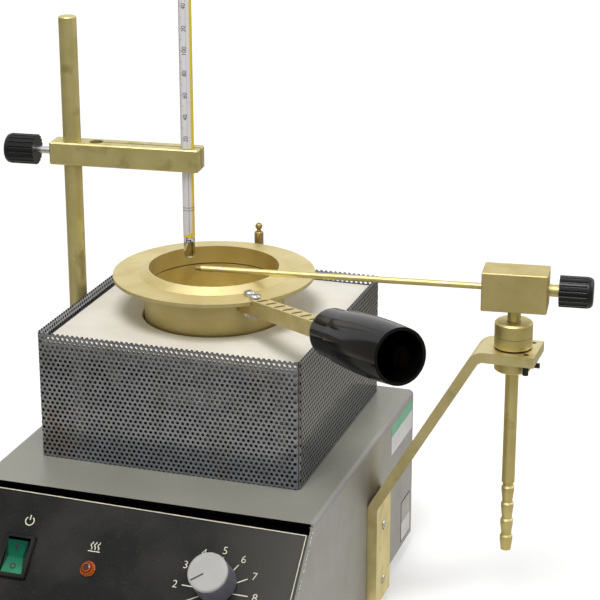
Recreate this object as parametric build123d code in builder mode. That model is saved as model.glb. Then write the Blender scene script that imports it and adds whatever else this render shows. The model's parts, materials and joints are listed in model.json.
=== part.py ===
from build123d import *
from math import cos, radians, sin, sqrt, tan
import os

# Open cup flash point tester. Millimetres, +X to the right along the front panel,
# +Y to the back, +Z up. The origin lies on the bench under the axis of the test cup.

os.makedirs("parts", exist_ok=True)

# ---------------------------------------------------------------- clearances
running_gap = 0.05  # radial, a shaft that turns or slides in its bore
seat_gap = 0.3  # between curved faces of pieces that only sit in each other
turning_face_gap = 0.15  # between two flat faces that turn on each other

# ---------------------------------------------------------------- housing
foot_height = 9.0
foot_diameter = 18.0
foot_inset = 20.0
deck_margin = 17.25  # of the top, on each side of the guard
housing_back = 72.0  # from the cup's axis to the outside of the rear panel
top_front = 97.0  # from the cup's axis to the front edge of the top
housing_height = 81.0
slope_angle = 45.0
slope_length = 78.0
sheet = 1.5
cover_bend = 2.5
panel_recess = 2.5
panel_thickness = 2.0
panel_ledge = 12.0  # of the tray's front wall, turned back behind the fascia
vent_slot_length = 30.0
vent_slot_width = 3.5
vent_slot_pitch = 9.0
vent_slot_count = 7
vent_inset = 40.0  # from the housing's side to the middle of the rear panel's slots
base_screw_head = 7.0

# ---------------------------------------------------------------- panel items
switch_x = -54.0
switch_down = 33.0  # down the slope from the top's front edge
bezel_width = 15.0
bezel_length = 21.0
bezel_rise = 2.0
bezel_rim = 1.9
switch_depth = 18.0
well_depth = 7.0  # of the rocker's well, below the fascia
rocker_half = 7.7
rocker_tilt = 9.0  # from level to either switched position
rocker_axis_depth = 2.6  # of the rocker's axis, below the fascia
rocker_rise = 1.0  # of the rocker's middle, above the fascia
rocker_side_gap = 0.25
rocker_pin = 1.6
lamp_x = -18.0
lamp_down = 33.8
lens_diameter = 7.2
lens_rise = 3.2
lens_flange = 0.7
lamp_depth = 16.0
dial_x = 43.4
dial_down = 31.1
knob_diameter = 18.4
knob_height = 15.8
knob_floor_gap = 0.8
pointer_angle = -127.0  # of the pointer from the top of the dial, clockwise positive
spindle_diameter = 6.0
regulator_side = 36.0
regulator_depth = 24.0
regulator_bore_depth = 8.0
spindle_end_gap = 0.5
spindle_below_cap = 4.0
cap_thickness = 1.8
cap_edge = 1.0
knob_flare = 0.4

# ---------------------------------------------------------------- heater
guard_side = 130.5
guard_height = 63.0
guard_sheet = 1.0
guard_bend = 2.5
guard_foot = 9.0
guard_screw_head = 6.0
board_top_above_deck = 58.0
board_thickness = 6.4
board_edge_gap = 1.2
board_hole_gap = 1.3  # between the cup and the board, all round
board_post_diameter = 9.0
board_post_inset = 14.5
hot_plate_diameter = 106.0
hot_plate_thickness = 11.6
nest_depth = 6.0
element_diameter = 98.0
element_thickness = 8.0
element_core = 24.0
shield_diameter = 110.0
shield_rim = 10.0
shield_sheet = 1.2
pillar_diameter = 8.0
pillar_radius = 38.0

# ---------------------------------------------------------------- test cup
flange_diameter = 98.5
flange_thickness = 1.7
cup_bore = 63.5
cup_wall = 2.45
cup_inner_depth = 33.6
cup_bottom = 3.0
cup_corner = 4.5
lip_height = 2.9
lip_foot_diameter = 73.0
lip_edge = 0.5
fill_mark_depth = 9.1
fill_mark_size = 0.8
handle_azimuth = -44.5
handle_rise = 8.5
bar_width = 7.4
bar_depth = 7.4
bar_over_flange = 0.7
bar_slot_count = 7
bar_slot_pitch = 8.75
bar_slot_length = 5.7
bar_slot_width = 1.6
bar_slot_depth = 1.2
first_slot = 4.5  # from the flange's edge to the first cooling slot
grip_start = 68.3  # from the flange's edge to the grip
grip_length = 63.6
grip_neck_diameter = 21.5
grip_neck_round = 5.0
grip_step = 18.0  # from the grip's start to the step behind its neck
grip_step_diameter = 22.8
grip_shoulder_diameter = 24.0
grip_belly_diameter = 25.8
grip_belly = 44.0  # from the grip's start to its thickest place
grip_end_diameter = 24.4
grip_wall = 1.4  # at the mouth of the hollow end
grip_socket = 20.0  # depth of the bar in the grip
grip_web = 7.0  # wall between the socket and the hollow end
grip_stud = 5.0
grip_nut_flats = 8.0
grip_nut_height = 4.0
handle_screw_diameter = 3.0
handle_screw_head = 5.6
handle_screw_head_height = 2.0
handle_screw_spacing = 6.3
handle_screw_edge = 3.6  # from the flange's edge to the outer screw
handle_nut_flats = 5.5
handle_nut_height = 2.2
handle_screw_over = 0.8  # thread left standing out of the nut

# ---------------------------------------------------------------- thermometer stand
rod_wall_gap = 1.0  # between the nut under the column and the cover's side
rod_diameter = 8.8
rod_top_above_deck = 200.5
bush_shoulder = 12.4
bush_neck_diameter = 11.0
bush_shoulder_height = 6.0
bush_socket = 14.0  # below the deck, to the floor the rod stands on
bush_floor = 2.0
bush_nut_flats = 14.0
bush_nut_height = 5.0
arm_yaw = 5.0
arm_width = 12.0
arm_depth = 11.2
arm_behind_rod = 10.0
arm_length = 75.4
arm_bottom_above_deck = 128.0
arm_chamfer = 0.6
arm_slit = 0.9
slit_hole_diameter = 6.8
slit_hole_distance = 12.4
thermometer_distance = 58.6
clamp_screw_diameter = 3.5
clamp_screw_shown = 8.2
stem_diameter = 6.4
immersed_diameter = 5.7
thermometer_length = 308.0
bulb_length = 11.0
bulb_bottom_above_deck = 83.2
thermometer_step = 50.0  # from the bulb's bottom to the thicker stem
thermometer_bore_gap = 0.1

# ---------------------------------------------------------------- grip knobs of the two screws
screw_knob_diameter = 14.8
screw_knob_length = 15.6
flute_count = 20
flute_radius = 0.7
flute_end = 2.6
knob_boss_depth = 9.0

# ---------------------------------------------------------------- burner
pivot_x = 149.0
burner_yaw = 6.8
bar_stock_width = 24.5
bar_stock_thickness = 5.0
bracket_bend = 6.0
leg_below_cover = 2.5
leg_bend_above_deck = -30.0
plate_top_above_deck = 57.3
plate_end = 12.3  # from the pivot's axis to the plate's free end
plate_bend = 14.8  # from the pivot's axis to the corner where the strut starts
bracket_screw_diameter = 4.0
bracket_screw_head = 5.0
bracket_screw_low = 10.0
bracket_screw_pitch = 29.8
bracket_screw_head_height = 0.5
bracket_nut_flats = 7.0
bracket_nut_height = 3.2
collar_diameter = 17.9
lower_collar_height = 6.0
upper_collar_height = 6.9
collar_chamfer = 0.8
ring_diameter = 17.2
ring_height = 6.0
pivot_neck = 10.0
collar_screw_diameter = 3.0
collar_screw_sunk = 0.4
ring_screw_diameter = 2.5
ring_screw_shown = 4.3
tube_diameter = 6.2
tube_bore = 3.0
tube_bottom_above_deck = -47.0
barb_count = 4
barb_pitch = 8.6
barb_root = 5.0
block_length = 30.4
block_width = 17.0
block_height = 18.6
block_bottom_above_deck = 77.0
block_back = 15.0  # from the pivot's axis to the block's jet end
block_edge = 0.4
tube_socket = 5.0
jet_socket = 5.0
gas_passage = 2.0
jet_above_deck = 86.35
jet_diameter = 3.0
jet_bore = 1.0
jet_reach = 152.6
jet_tip_length = 2.9
jet_tip_end = 1.8
valve_spindle_diameter = 5.7
valve_spindle_shown = 5.0
valve_spindle_depth = 11.0
stop_screw_diameter = 2.8
stop_screw_drop = 5.0
stop_screw_x = 8.0
stop_screw_y = 8.5
bead_x = 3.2
bead_y = 57.0
bead_post_diameter = 4.6
bead_shoulder_above_deck = 83.2
bead_neck_diameter = 2.0
bead_neck_length = 1.3
bead_diameter = 3.6
bead_stud = 2.5
bead_nut_flats = 5.0
bead_nut_height = 2.0

# ---------------------------------------------------------------- mains inlet
inlet_x = -42.0
inlet_z = 38.0
inlet_flange_width = 50.0
inlet_flange_height = 23.0
inlet_body_width = 27.0
inlet_body_height = 19.5
inlet_flange_thickness = 3.0
inlet_depth = 18.0
inlet_wall = 1.8
pin_width = 4.0
pin_thickness = 2.0
pin_length = 13.0
pin_spread = 7.0
inlet_screw_pitch = 40.0
fuse_x = -2.0
fuse_diameter = 15.0
fuse_rise = 6.0
fuse_body = 12.4
fuse_depth = 24.0
fuse_slot_length = 8.0
fuse_slot_width = 1.4

# ---------------------------------------------------------------- levels worked out
deck = foot_height + housing_height
board_top = deck + board_top_above_deck
board_bottom = board_top - board_thickness
plate_bottom = board_bottom - hot_plate_thickness
element_bottom = plate_bottom - element_thickness
shield_bottom = element_bottom - shield_sheet
cup_base = board_bottom - nest_depth
rim = cup_base + cup_bottom + cup_inner_depth
flange_top = rim - lip_height
flange_bottom = flange_top - flange_thickness
cup_radius = cup_bore / 2 + cup_wall
housing_width = guard_side + 2 * deck_margin
half_width = housing_width / 2
rod_x = -(half_width - sheet - rod_wall_gap - bush_nut_flats / 2)
slope = radians(slope_angle)
slope_start_z = deck - sheet
slope_end_y = -top_front - slope_length * sin(slope)
slope_end_z = slope_start_z - slope_length * cos(slope)
leg_bottom = foot_height - leg_below_cover
bracket_screw_levels = [
    leg_bottom + bracket_screw_low,
    leg_bottom + bracket_screw_low + bracket_screw_pitch,
]


def slope_point(depth, down):
    """(y, z) of a point behind the console's slope, measured down from its upper edge."""
    y = -top_front + depth * cos(slope) - down * sin(slope)
    z = slope_start_z - depth * sin(slope) - down * cos(slope)
    return (y, z)


def keep(builder, node):
    """Label a finished piece and write it."""
    builder.part.label = node
    export_step(builder.part, f"parts/{node}.step")


# ================================================================ housing
# The cover is one folded sheet: the top and two sides, cut to the console's profile.
with BuildPart() as housing_cover:
    with BuildSketch(Plane.XZ.offset(-housing_back)):
        with BuildLine():
            Polyline(
                (-half_width, foot_height),
                (-half_width, deck),
                (half_width, deck),
                (half_width, foot_height),
                (-half_width, foot_height),
            )
        outline = make_face()
        fillet(outline.vertices().group_by(Axis.Y)[-1], cover_bend)
    extrude(amount=housing_back - slope_end_y)
    with BuildSketch(Plane.XZ.offset(-housing_back)):
        with BuildLine():
            Polyline(
                (-half_width + sheet, foot_height),
                (-half_width + sheet, deck - sheet),
                (half_width - sheet, deck - sheet),
                (half_width - sheet, foot_height),
                (-half_width + sheet, foot_height),
            )
        hollow = make_face()
        fillet(hollow.vertices().group_by(Axis.Y)[-1], cover_bend - sheet)
    extrude(amount=housing_back - slope_end_y, mode=Mode.SUBTRACT)
    with BuildSketch(Plane.YZ.offset(-half_width)):
        with BuildLine():
            Polyline(
                (-top_front, deck + 1),
                (-top_front, slope_start_z),
                (slope_end_y, slope_end_z),
                (slope_end_y - 1, slope_end_z),
                (slope_end_y - 1, deck + 1),
                (-top_front, deck + 1),
            )
        make_face()
    extrude(amount=housing_width, mode=Mode.SUBTRACT)
    with Locations((rod_x, 0, deck)):
        Hole(bush_neck_diameter / 2, depth=2 * sheet)
    with BuildSketch(Plane.YZ.offset(half_width)):
        with Locations(*[(0, z) for z in bracket_screw_levels]):
            Circle(bracket_screw_diameter / 2)
    extrude(amount=-sheet, mode=Mode.SUBTRACT)
keep(housing_cover, "housing_cover")

# The rear panel closes the back, inside the cover's edges.
with BuildPart() as rear_panel:
    with BuildSketch(Plane.XZ.offset(-housing_back)):
        with Locations((0, foot_height + (housing_height - sheet) / 2)):
            rear_face = Rectangle(housing_width - 2 * sheet, housing_height - sheet)
        fillet(rear_face.vertices().group_by(Axis.Y)[-1], cover_bend - sheet)
        with Locations((inlet_x, inlet_z)):
            Rectangle(inlet_body_width, inlet_body_height, mode=Mode.SUBTRACT)
        with Locations((inlet_x - inlet_screw_pitch / 2, inlet_z), (inlet_x + inlet_screw_pitch / 2, inlet_z)):
            Circle(1.6, mode=Mode.SUBTRACT)
        with Locations((fuse_x, inlet_z)):
            Circle(fuse_body / 2, mode=Mode.SUBTRACT)
        with Locations((half_width - vent_inset, inlet_z)):
            with GridLocations(vent_slot_pitch, 0, vent_slot_count - 2, 1):
                SlotOverall(vent_slot_length, vent_slot_width, rotation=90, mode=Mode.SUBTRACT)
    extrude(amount=sheet)
keep(rear_panel, "rear_panel")

# The base tray: bottom plate with slots, its front wall turned up and back behind the fascia.
tray_width = housing_width - 2 * sheet
tray_back = housing_back - sheet
fascia_back = panel_recess + panel_thickness
ledge_corner = slope_length + fascia_back / tan(slope)
ledge_inner_corner = ledge_corner - sheet * (1 - cos(slope)) / sin(slope)
with BuildPart() as base_tray:
    with BuildSketch(Plane.YZ.offset(-tray_width / 2)):
        with BuildLine():
            Polyline(
                (tray_back, foot_height),
                (tray_back, foot_height + sheet),
                (slope_end_y + sheet, foot_height + sheet),
                slope_point(fascia_back + sheet, ledge_inner_corner),
                slope_point(fascia_back + sheet, ledge_corner - panel_ledge),
                slope_point(fascia_back, ledge_corner - panel_ledge),
                slope_point(fascia_back, ledge_corner),
                (slope_end_y, foot_height),
                (tray_back, foot_height),
            )
        make_face()
    extrude(amount=tray_width)
    with BuildSketch(Plane.XY.offset(foot_height)):
        with Locations((0, (tray_back + slope_end_y) / 2)):
            with GridLocations(vent_slot_pitch, 2 * vent_slot_length, vent_slot_count, 2):
                SlotOverall(vent_slot_length, vent_slot_width, rotation=90)
    extrude(amount=sheet, mode=Mode.SUBTRACT)
keep(base_tray, "base_tray")

foot_x = half_width - foot_inset
foot_back_y = housing_back - foot_inset
foot_front_y = slope_end_y + foot_inset
foot_places = [(x, y) for x in (-foot_x, foot_x) for y in (foot_front_y, foot_back_y)]
with BuildPart() as feet:
    with BuildSketch():
        with Locations(foot_places):
            Circle(foot_diameter / 2)
    extrude(amount=foot_height)
    chamfer(feet.edges().group_by(Axis.Z)[0], 1.2)
keep(feet, "feet")

# Screws that pull the feet and the tray together, seen from inside the tray.
with BuildPart() as base_screws:
    with BuildSketch(Plane.XY.offset(foot_height + sheet)):
        with Locations(foot_places):
            Circle(base_screw_head / 2)
    extrude(amount=2.4)
    chamfer(base_screws.edges().group_by(Axis.Z)[-1], 0.8)
keep(base_screws, "base_screws")

# ---------------------------------------------------------------- sloping panel
# panel_plane lies in the fascia's outer face: X to the right, Y up the slope, Z outward.
panel_plane = Plane(
    origin=(0, *slope_point(panel_recess, 0)),
    x_dir=(1, 0, 0),
    z_dir=(0, -cos(slope), sin(slope)),
)
panel_width = housing_width - 2 * sheet
panel_top = panel_recess * tan(slope) - 0.1
panel_bottom = slope_length + panel_recess / tan(slope)
panel_length = panel_top + panel_bottom

with BuildPart() as control_panel:
    with BuildSketch(panel_plane):
        with Locations((0, (panel_top - panel_bottom) / 2)):
            fascia = Rectangle(panel_width, panel_length)
        chamfer(fascia.vertices().group_by(Axis.Y)[-1], (cover_bend - sheet) / cos(slope) + 0.3)
        with Locations((switch_x, -switch_down)):
            Rectangle(bezel_width - 2, bezel_length - 2, mode=Mode.SUBTRACT)
        with Locations((lamp_x, -lamp_down)):
            Circle(lens_diameter / 2 - 0.6, mode=Mode.SUBTRACT)
        with Locations((dial_x, -dial_down)):
            Circle(spindle_diameter / 2 + 1, mode=Mode.SUBTRACT)
    extrude(amount=-panel_thickness)
keep(control_panel, "control_panel")

# Snap-in rocker switch: a frame on the fascia with its case behind it.
switch_plane = Plane(
    origin=panel_plane.from_local_coords((switch_x, -switch_down, 0)),
    x_dir=panel_plane.x_dir,
    z_dir=panel_plane.z_dir,
)
well_width = bezel_width - 2 * bezel_rim
well_length = bezel_length - 2 * bezel_rim
case_width = bezel_width - 2.2
case_length = bezel_length - 2.2
rocker_origin = switch_plane.from_local_coords((0, 0, -rocker_axis_depth))
with BuildPart() as switch_bezel:
    with BuildSketch(switch_plane):
        RectangleRounded(bezel_width, bezel_length, 1.0)
    extrude(amount=bezel_rise)
    chamfer(switch_bezel.faces().sort_by(Axis(switch_plane.origin, switch_plane.z_dir))[-1].edges(), 0.5)
    with BuildSketch(switch_plane):
        Rectangle(case_width, case_length)
    extrude(amount=-switch_depth)
    with BuildSketch(switch_plane.offset(bezel_rise)):
        Rectangle(well_width, well_length)
    extrude(amount=-(bezel_rise + well_depth), mode=Mode.SUBTRACT)
    with BuildSketch(Plane(origin=rocker_origin, x_dir=switch_plane.y_dir, z_dir=(1, 0, 0))):
        Circle(rocker_pin / 2 + running_gap)
    extrude(amount=case_width / 2 - 0.1, both=True, mode=Mode.SUBTRACT)
keep(switch_bezel, "switch_bezel")

# The rocker lies switched off: its lower half pressed in, its upper half standing out.
# rocker_side looks along its axis: X up the slope, Y out of the fascia.
rocker_side = Plane(origin=rocker_origin, x_dir=switch_plane.y_dir, z_dir=(1, 0, 0))
rocker_width = well_width - 2 * rocker_side_gap
rocker_middle = rocker_axis_depth + rocker_rise
rocker_edge = rocker_middle + rocker_half * tan(radians(rocker_tilt))
with BuildPart() as rocker:
    with BuildSketch(rocker_side):
        with BuildLine():
            Polyline(
                (-rocker_half, rocker_edge),
                (0, rocker_middle),
                (rocker_half, rocker_edge),
                (rocker_half - 0.5, 0.4),
                (2.5, -1.8),
                (-2.5, -1.8),
                (-rocker_half + 0.5, 0.4),
                (-rocker_half, rocker_edge),
            )
        make_face()
        Circle(rocker_pin / 2)
    extrude(amount=rocker_width / 2, both=True)
    with BuildSketch(rocker_side):
        Circle(rocker_pin / 2)
    extrude(amount=rocker_width / 2 + rocker_side_gap + 0.6, both=True)
rocker.part = rocker.part.rotate(Axis(rocker_origin, (1, 0, 0)), rocker_tilt)
keep(rocker, "rocker")

with BuildPart() as lamp_body:
    lamp_plane = Plane(
        origin=panel_plane.from_local_coords((lamp_x, -lamp_down, 0)),
        x_dir=panel_plane.x_dir,
        z_dir=panel_plane.z_dir,
    )
    with BuildSketch(lamp_plane):
        Circle(lens_diameter / 2 - 0.7)
    extrude(amount=-lamp_depth)
keep(lamp_body, "lamp_body")

with BuildPart() as lamp_lens:
    with BuildSketch(lamp_plane):
        Circle(lens_diameter / 2)
    extrude(amount=lens_flange)
    with BuildSketch(lamp_plane):
        Circle(lens_diameter / 2 - 0.3)
    extrude(amount=lens_rise)
    crown = lamp_lens.faces().sort_by(Axis(lamp_plane.origin, lamp_plane.z_dir))[-1]
    fillet(crown.edges(), lens_rise - lens_flange - 0.2)
keep(lamp_lens, "lamp_lens")

# ---------------------------------------------------------------- heat control
dial_plane = Plane(
    origin=panel_plane.from_local_coords((dial_x, -dial_down, 0)),
    x_dir=panel_plane.x_dir,
    z_dir=panel_plane.z_dir,
)
with BuildPart() as heat_regulator:
    with BuildSketch(dial_plane.offset(-panel_thickness)):
        RectangleRounded(regulator_side, regulator_side, 2)
    extrude(amount=-regulator_depth)
    with BuildSketch(dial_plane.offset(-panel_thickness)):
        Circle(spindle_diameter / 2 + running_gap)
    extrude(amount=-regulator_bore_depth, mode=Mode.SUBTRACT)
keep(heat_regulator, "heat_regulator")

spindle_top = knob_height - spindle_below_cap
spindle_in_regulator = regulator_bore_depth - spindle_end_gap
with BuildPart() as control_spindle:
    with BuildSketch(dial_plane.offset(-panel_thickness - spindle_in_regulator)):
        Circle(spindle_diameter / 2)
    extrude(amount=panel_thickness + spindle_in_regulator + spindle_top)
keep(control_spindle, "control_spindle")

cap_bottom = knob_height - cap_thickness
with BuildPart() as control_knob:
    with BuildSketch(Plane(origin=dial_plane.origin, x_dir=dial_plane.x_dir, z_dir=-dial_plane.y_dir)):
        with BuildLine():
            Polyline(
                (spindle_diameter / 2, knob_floor_gap),
                (knob_diameter / 2 + knob_flare, knob_floor_gap),
                (knob_diameter / 2, cap_bottom),
                (0, cap_bottom),
                (0, spindle_top),
                (spindle_diameter / 2, spindle_top),
                (spindle_diameter / 2, knob_floor_gap),
            )
        make_face()
    revolve(axis=Axis(dial_plane.origin, dial_plane.z_dir))
keep(control_knob, "control_knob")

# The pale cap covers the knob's whole top, with a rounded edge.
with BuildPart() as knob_cap:
    with BuildSketch(dial_plane.offset(cap_bottom)):
        Circle(knob_diameter / 2)
    extrude(amount=cap_thickness)
    cap_top = knob_cap.faces().sort_by(Axis(dial_plane.origin, dial_plane.z_dir))[-1]
    fillet(cap_top.edges(), cap_edge)
keep(knob_cap, "knob_cap")

# ================================================================ mains inlet
inlet_plane = Plane(origin=(inlet_x, housing_back, inlet_z), x_dir=(-1, 0, 0), z_dir=(0, 1, 0))
screw_spots = [(-inlet_screw_pitch / 2, 0), (inlet_screw_pitch / 2, 0)]
with BuildPart() as inlet_socket:
    with BuildSketch(inlet_plane):
        RectangleRounded(inlet_flange_width, inlet_flange_height, 4)
    extrude(amount=inlet_flange_thickness)
    with BuildSketch(inlet_plane):
        Rectangle(inlet_body_width - 0.4, inlet_body_height - 0.4)
    extrude(amount=-inlet_depth)
    with BuildSketch(inlet_plane.offset(inlet_flange_thickness)):
        well = Rectangle(inlet_body_width - 2 * inlet_wall, inlet_body_height - 2 * inlet_wall)
        chamfer(well.vertices().group_by(Axis.Y)[-1], 3.5)
    extrude(amount=-(inlet_flange_thickness + inlet_depth - 2.5), mode=Mode.SUBTRACT)
    with BuildSketch(inlet_plane):
        with Locations(screw_spots):
            Circle(1.6)
    extrude(amount=inlet_flange_thickness, mode=Mode.SUBTRACT)
keep(inlet_socket, "inlet_socket")

well_floor = -inlet_depth + 2.5
with BuildPart() as inlet_pins:
    with BuildSketch(inlet_plane.offset(well_floor)):
        with Locations((-pin_spread, -1.5), (pin_spread, -1.5), (0, 2.5)):
            Rectangle(pin_thickness, pin_width)
    extrude(amount=pin_length)
keep(inlet_pins, "inlet_pins")

with BuildPart() as inlet_screws:
    with BuildSketch(inlet_plane.offset(-sheet - 3)):
        with Locations(screw_spots):
            Circle(1.5)
    extrude(amount=sheet + 3 + inlet_flange_thickness)
    with BuildSketch(inlet_plane.offset(inlet_flange_thickness)):
        with Locations(screw_spots):
            Circle(2.9)
    extrude(amount=1.6)
keep(inlet_screws, "inlet_screws")

with BuildPart() as fuse_carrier:
    fuse_plane = Plane(origin=(fuse_x, housing_back, inlet_z), x_dir=(-1, 0, 0), z_dir=(0, 1, 0))
    with BuildSketch(fuse_plane):
        Circle(fuse_diameter / 2)
    extrude(amount=fuse_rise)
    chamfer(fuse_carrier.faces().sort_by(Axis.Y)[-1].edges(), 1.0)
    with BuildSketch(fuse_plane):
        Circle(fuse_body / 2 - 0.1)
    extrude(amount=-fuse_depth)
    with BuildSketch(fuse_plane.offset(fuse_rise)):
        Rectangle(fuse_slot_length, fuse_slot_width)
    extrude(amount=-1.5, mode=Mode.SUBTRACT)
keep(fuse_carrier, "fuse_carrier")

# ================================================================ heater
# Sheet guard: four walls bent from one strip, with a foot turned inward on the deck.
guard_inner = guard_side - 2 * guard_sheet
with BuildPart() as heat_guard:
    with BuildSketch(Plane.XY.offset(deck)):
        RectangleRounded(guard_side, guard_side, guard_bend)
        RectangleRounded(guard_inner, guard_inner, guard_bend - guard_sheet, mode=Mode.SUBTRACT)
    extrude(amount=guard_height)
    with BuildSketch(Plane.XY.offset(deck)):
        RectangleRounded(guard_inner, guard_inner, guard_bend - guard_sheet)
        Rectangle(guard_inner - 2 * guard_foot, guard_inner - 2 * guard_foot, mode=Mode.SUBTRACT)
    extrude(amount=guard_sheet)
keep(heat_guard, "heat_guard")

guard_screw_place = guard_inner / 2 - guard_foot / 2
with BuildPart() as guard_screws:
    with BuildSketch(Plane.XY.offset(deck + guard_sheet)):
        with GridLocations(2 * guard_screw_place, guard_inner * 0.6, 2, 2):
            Circle(guard_screw_head / 2)
    extrude(amount=2.0)
    chamfer(guard_screws.edges().group_by(Axis.Z)[-1], 0.7)
keep(guard_screws, "guard_screws")

# Stand-offs carry the shield, the element and the hot plate over the deck.
with BuildPart() as plate_pillars:
    with BuildSketch(Plane.XY.offset(deck)):
        with PolarLocations(pillar_radius, 4, start_angle=45):
            RegularPolygon(pillar_diameter / 2, 6)
    extrude(amount=shield_bottom - deck)
keep(plate_pillars, "plate_pillars")

with BuildPart() as heat_shield:
    with BuildSketch(Plane.XY.offset(shield_bottom)):
        Circle(shield_diameter / 2)
    extrude(amount=shield_rim)
    with BuildSketch(Plane.XY.offset(element_bottom)):
        Circle(shield_diameter / 2 - shield_sheet)
    extrude(amount=shield_rim, mode=Mode.SUBTRACT)
keep(heat_shield, "heat_shield")

with BuildPart() as heater_element:
    with BuildSketch(Plane.XY.offset(element_bottom)):
        Circle(element_diameter / 2)
        Circle(element_core / 2, mode=Mode.SUBTRACT)
    extrude(amount=element_thickness)
keep(heater_element, "heater_element")

with BuildPart() as hot_plate:
    with BuildSketch(Plane.XY.offset(plate_bottom)):
        Circle(hot_plate_diameter / 2)
    extrude(amount=hot_plate_thickness)
    with BuildSketch(Plane.XY.offset(cup_base)):
        Circle(cup_radius + seat_gap)
    extrude(amount=nest_depth, mode=Mode.SUBTRACT)
    chamfer(hot_plate.faces().sort_by(Axis.Z)[-1].outer_wire().edges(), 1.0)
keep(hot_plate, "hot_plate")

board_side = guard_inner - 2 * board_edge_gap
with BuildPart() as insulation_board:
    with BuildSketch(Plane.XY.offset(board_bottom)):
        RectangleRounded(board_side, board_side, 1.5)
        Circle(cup_radius + board_hole_gap, mode=Mode.SUBTRACT)
        with Locations((bead_x, bead_y)):
            Circle(bead_stud / 2, mode=Mode.SUBTRACT)
    extrude(amount=board_thickness)
keep(insulation_board, "insulation_board")

post_place = guard_inner - 2 * board_post_inset
with BuildPart() as board_posts:
    with BuildSketch(Plane.XY.offset(deck)):
        with GridLocations(post_place, post_place, 2, 2):
            Circle(board_post_diameter / 2)
    extrude(amount=board_bottom - deck)
keep(board_posts, "board_posts")

# ================================================================ test cup
inner = cup_bore / 2
flange_radius = flange_diameter / 2
mark_z = rim - fill_mark_depth
floor_z = cup_base + cup_bottom
handle_dir = Vector(cos(radians(handle_azimuth)), sin(radians(handle_azimuth)), 0)
screw_radii = [flange_radius - handle_screw_edge - i * handle_screw_spacing for i in (0, 1)]
screw_places = [(handle_dir.X * r, handle_dir.Y * r) for r in screw_radii]

with BuildPart() as test_cup:
    with BuildSketch(Plane.XZ):
        with BuildLine():
            Polyline(
                (0, cup_base),
                (cup_radius, cup_base),
                (cup_radius, flange_bottom),
                (flange_radius, flange_bottom),
                (flange_radius, flange_top),
                (lip_foot_diameter / 2, flange_top),
                (inner + lip_edge, rim),
                (inner, rim),
                (inner, mark_z + fill_mark_size / 2),
                (inner + fill_mark_size, mark_z),
                (inner, mark_z - fill_mark_size / 2),
                (inner, floor_z),
                (0, floor_z),
                (0, cup_base),
            )
        profile = make_face()
        outer_corner = profile.vertices().sort_by_distance((cup_radius, cup_base))[0]
        fillet(outer_corner, cup_corner)
        inner_corner = profile.vertices().sort_by_distance((inner, floor_z))[0]
        fillet(inner_corner, cup_corner - cup_wall / 2)
    revolve(axis=Axis.Z)
    with BuildSketch(Plane.XY.offset(flange_bottom)):
        with Locations(*screw_places):
            Circle(handle_screw_diameter / 2)
    extrude(amount=flange_thickness, mode=Mode.SUBTRACT)
keep(test_cup, "test_cup")

# Handle: a square bar that rises outward, let in under the flange and held by two screws.
# handle_side is the upright plane through the cup's axis: X outward, Y up.
handle_side = Plane(origin=(0, 0, 0), x_dir=handle_dir, z_dir=handle_dir.cross(Vector(0, 0, 1)))
rise = tan(radians(handle_rise))
bar_inner = cup_radius + seat_gap
bar_top_at_rim = flange_top + bar_over_flange
bar_drop = bar_depth / cos(radians(handle_rise))
bar_notch = flange_radius + 0.2
bar_end = flange_radius + (grip_start + grip_socket) * cos(radians(handle_rise))
nut_corner = handle_nut_flats / sqrt(3)


def bar_top(r):
    """Height of the bar's top face at a distance r from the cup's axis."""
    return bar_top_at_rim + (r - flange_radius) * rise


def nut_seat(r):
    """Height of the flat the nut at a distance r bears on."""
    return bar_top(r + nut_corner) - bar_drop


# bar_plane lies in the bar's top face: X along the bar, from the flange's edge.
bar_plane = Plane(
    origin=handle_side.from_local_coords((flange_radius, bar_top_at_rim, 0)),
    x_dir=handle_side.from_local_coords((1, rise, 0)),
    z_dir=handle_side.from_local_coords((-rise, 1, 0)),
)
# grip_plane stands across the bar where the grip starts: Z outward along the bar.
grip_plane = Plane(
    origin=bar_plane.from_local_coords((grip_start, 0, -bar_depth / 2)),
    x_dir=bar_plane.z_dir,
    z_dir=bar_plane.x_dir,
)
with BuildPart() as handle_bar:
    with BuildSketch(handle_side):
        with BuildLine():
            Polyline(
                (bar_inner, flange_bottom),
                (bar_notch, flange_bottom),
                (bar_notch, bar_top(bar_notch)),
                (bar_end, bar_top(bar_end)),
                (bar_end, bar_top(bar_end) - bar_drop),
                (bar_inner, bar_top(bar_inner) - bar_drop),
                (bar_inner, flange_bottom),
            )
        make_face()
    extrude(amount=bar_width / 2, both=True)
    with BuildSketch(grip_plane.offset(grip_socket)):
        Rectangle(4 * bar_depth, 4 * bar_width)
    extrude(amount=2 * bar_depth, mode=Mode.SUBTRACT)
    with BuildSketch(grip_plane.offset(grip_socket - 2)):
        Circle(grip_stud / 2)
    extrude(amount=2 + grip_web + grip_nut_height + 1)
    with BuildSketch(bar_plane):
        slot_span = (bar_slot_count - 1) * bar_slot_pitch
        with Locations((first_slot + slot_span / 2, 0)):
            with GridLocations(bar_slot_pitch, 0, bar_slot_count, 1):
                SlotOverall(bar_slot_length, bar_slot_width, rotation=90)
    extrude(amount=-bar_slot_depth, mode=Mode.SUBTRACT)
    with BuildSketch(Plane.XY.offset(flange_bottom)):
        with Locations(*screw_places):
            Circle(handle_screw_diameter / 2)
    extrude(amount=-2 * bar_depth, mode=Mode.SUBTRACT)
    for r, place in zip(screw_radii, screw_places):
        with BuildSketch(Plane.XY.offset(nut_seat(r))):
            with Locations(place):
                Circle(nut_corner + 0.3)
        extrude(amount=-bar_depth, mode=Mode.SUBTRACT)
keep(handle_bar, "handle_bar")

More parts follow.
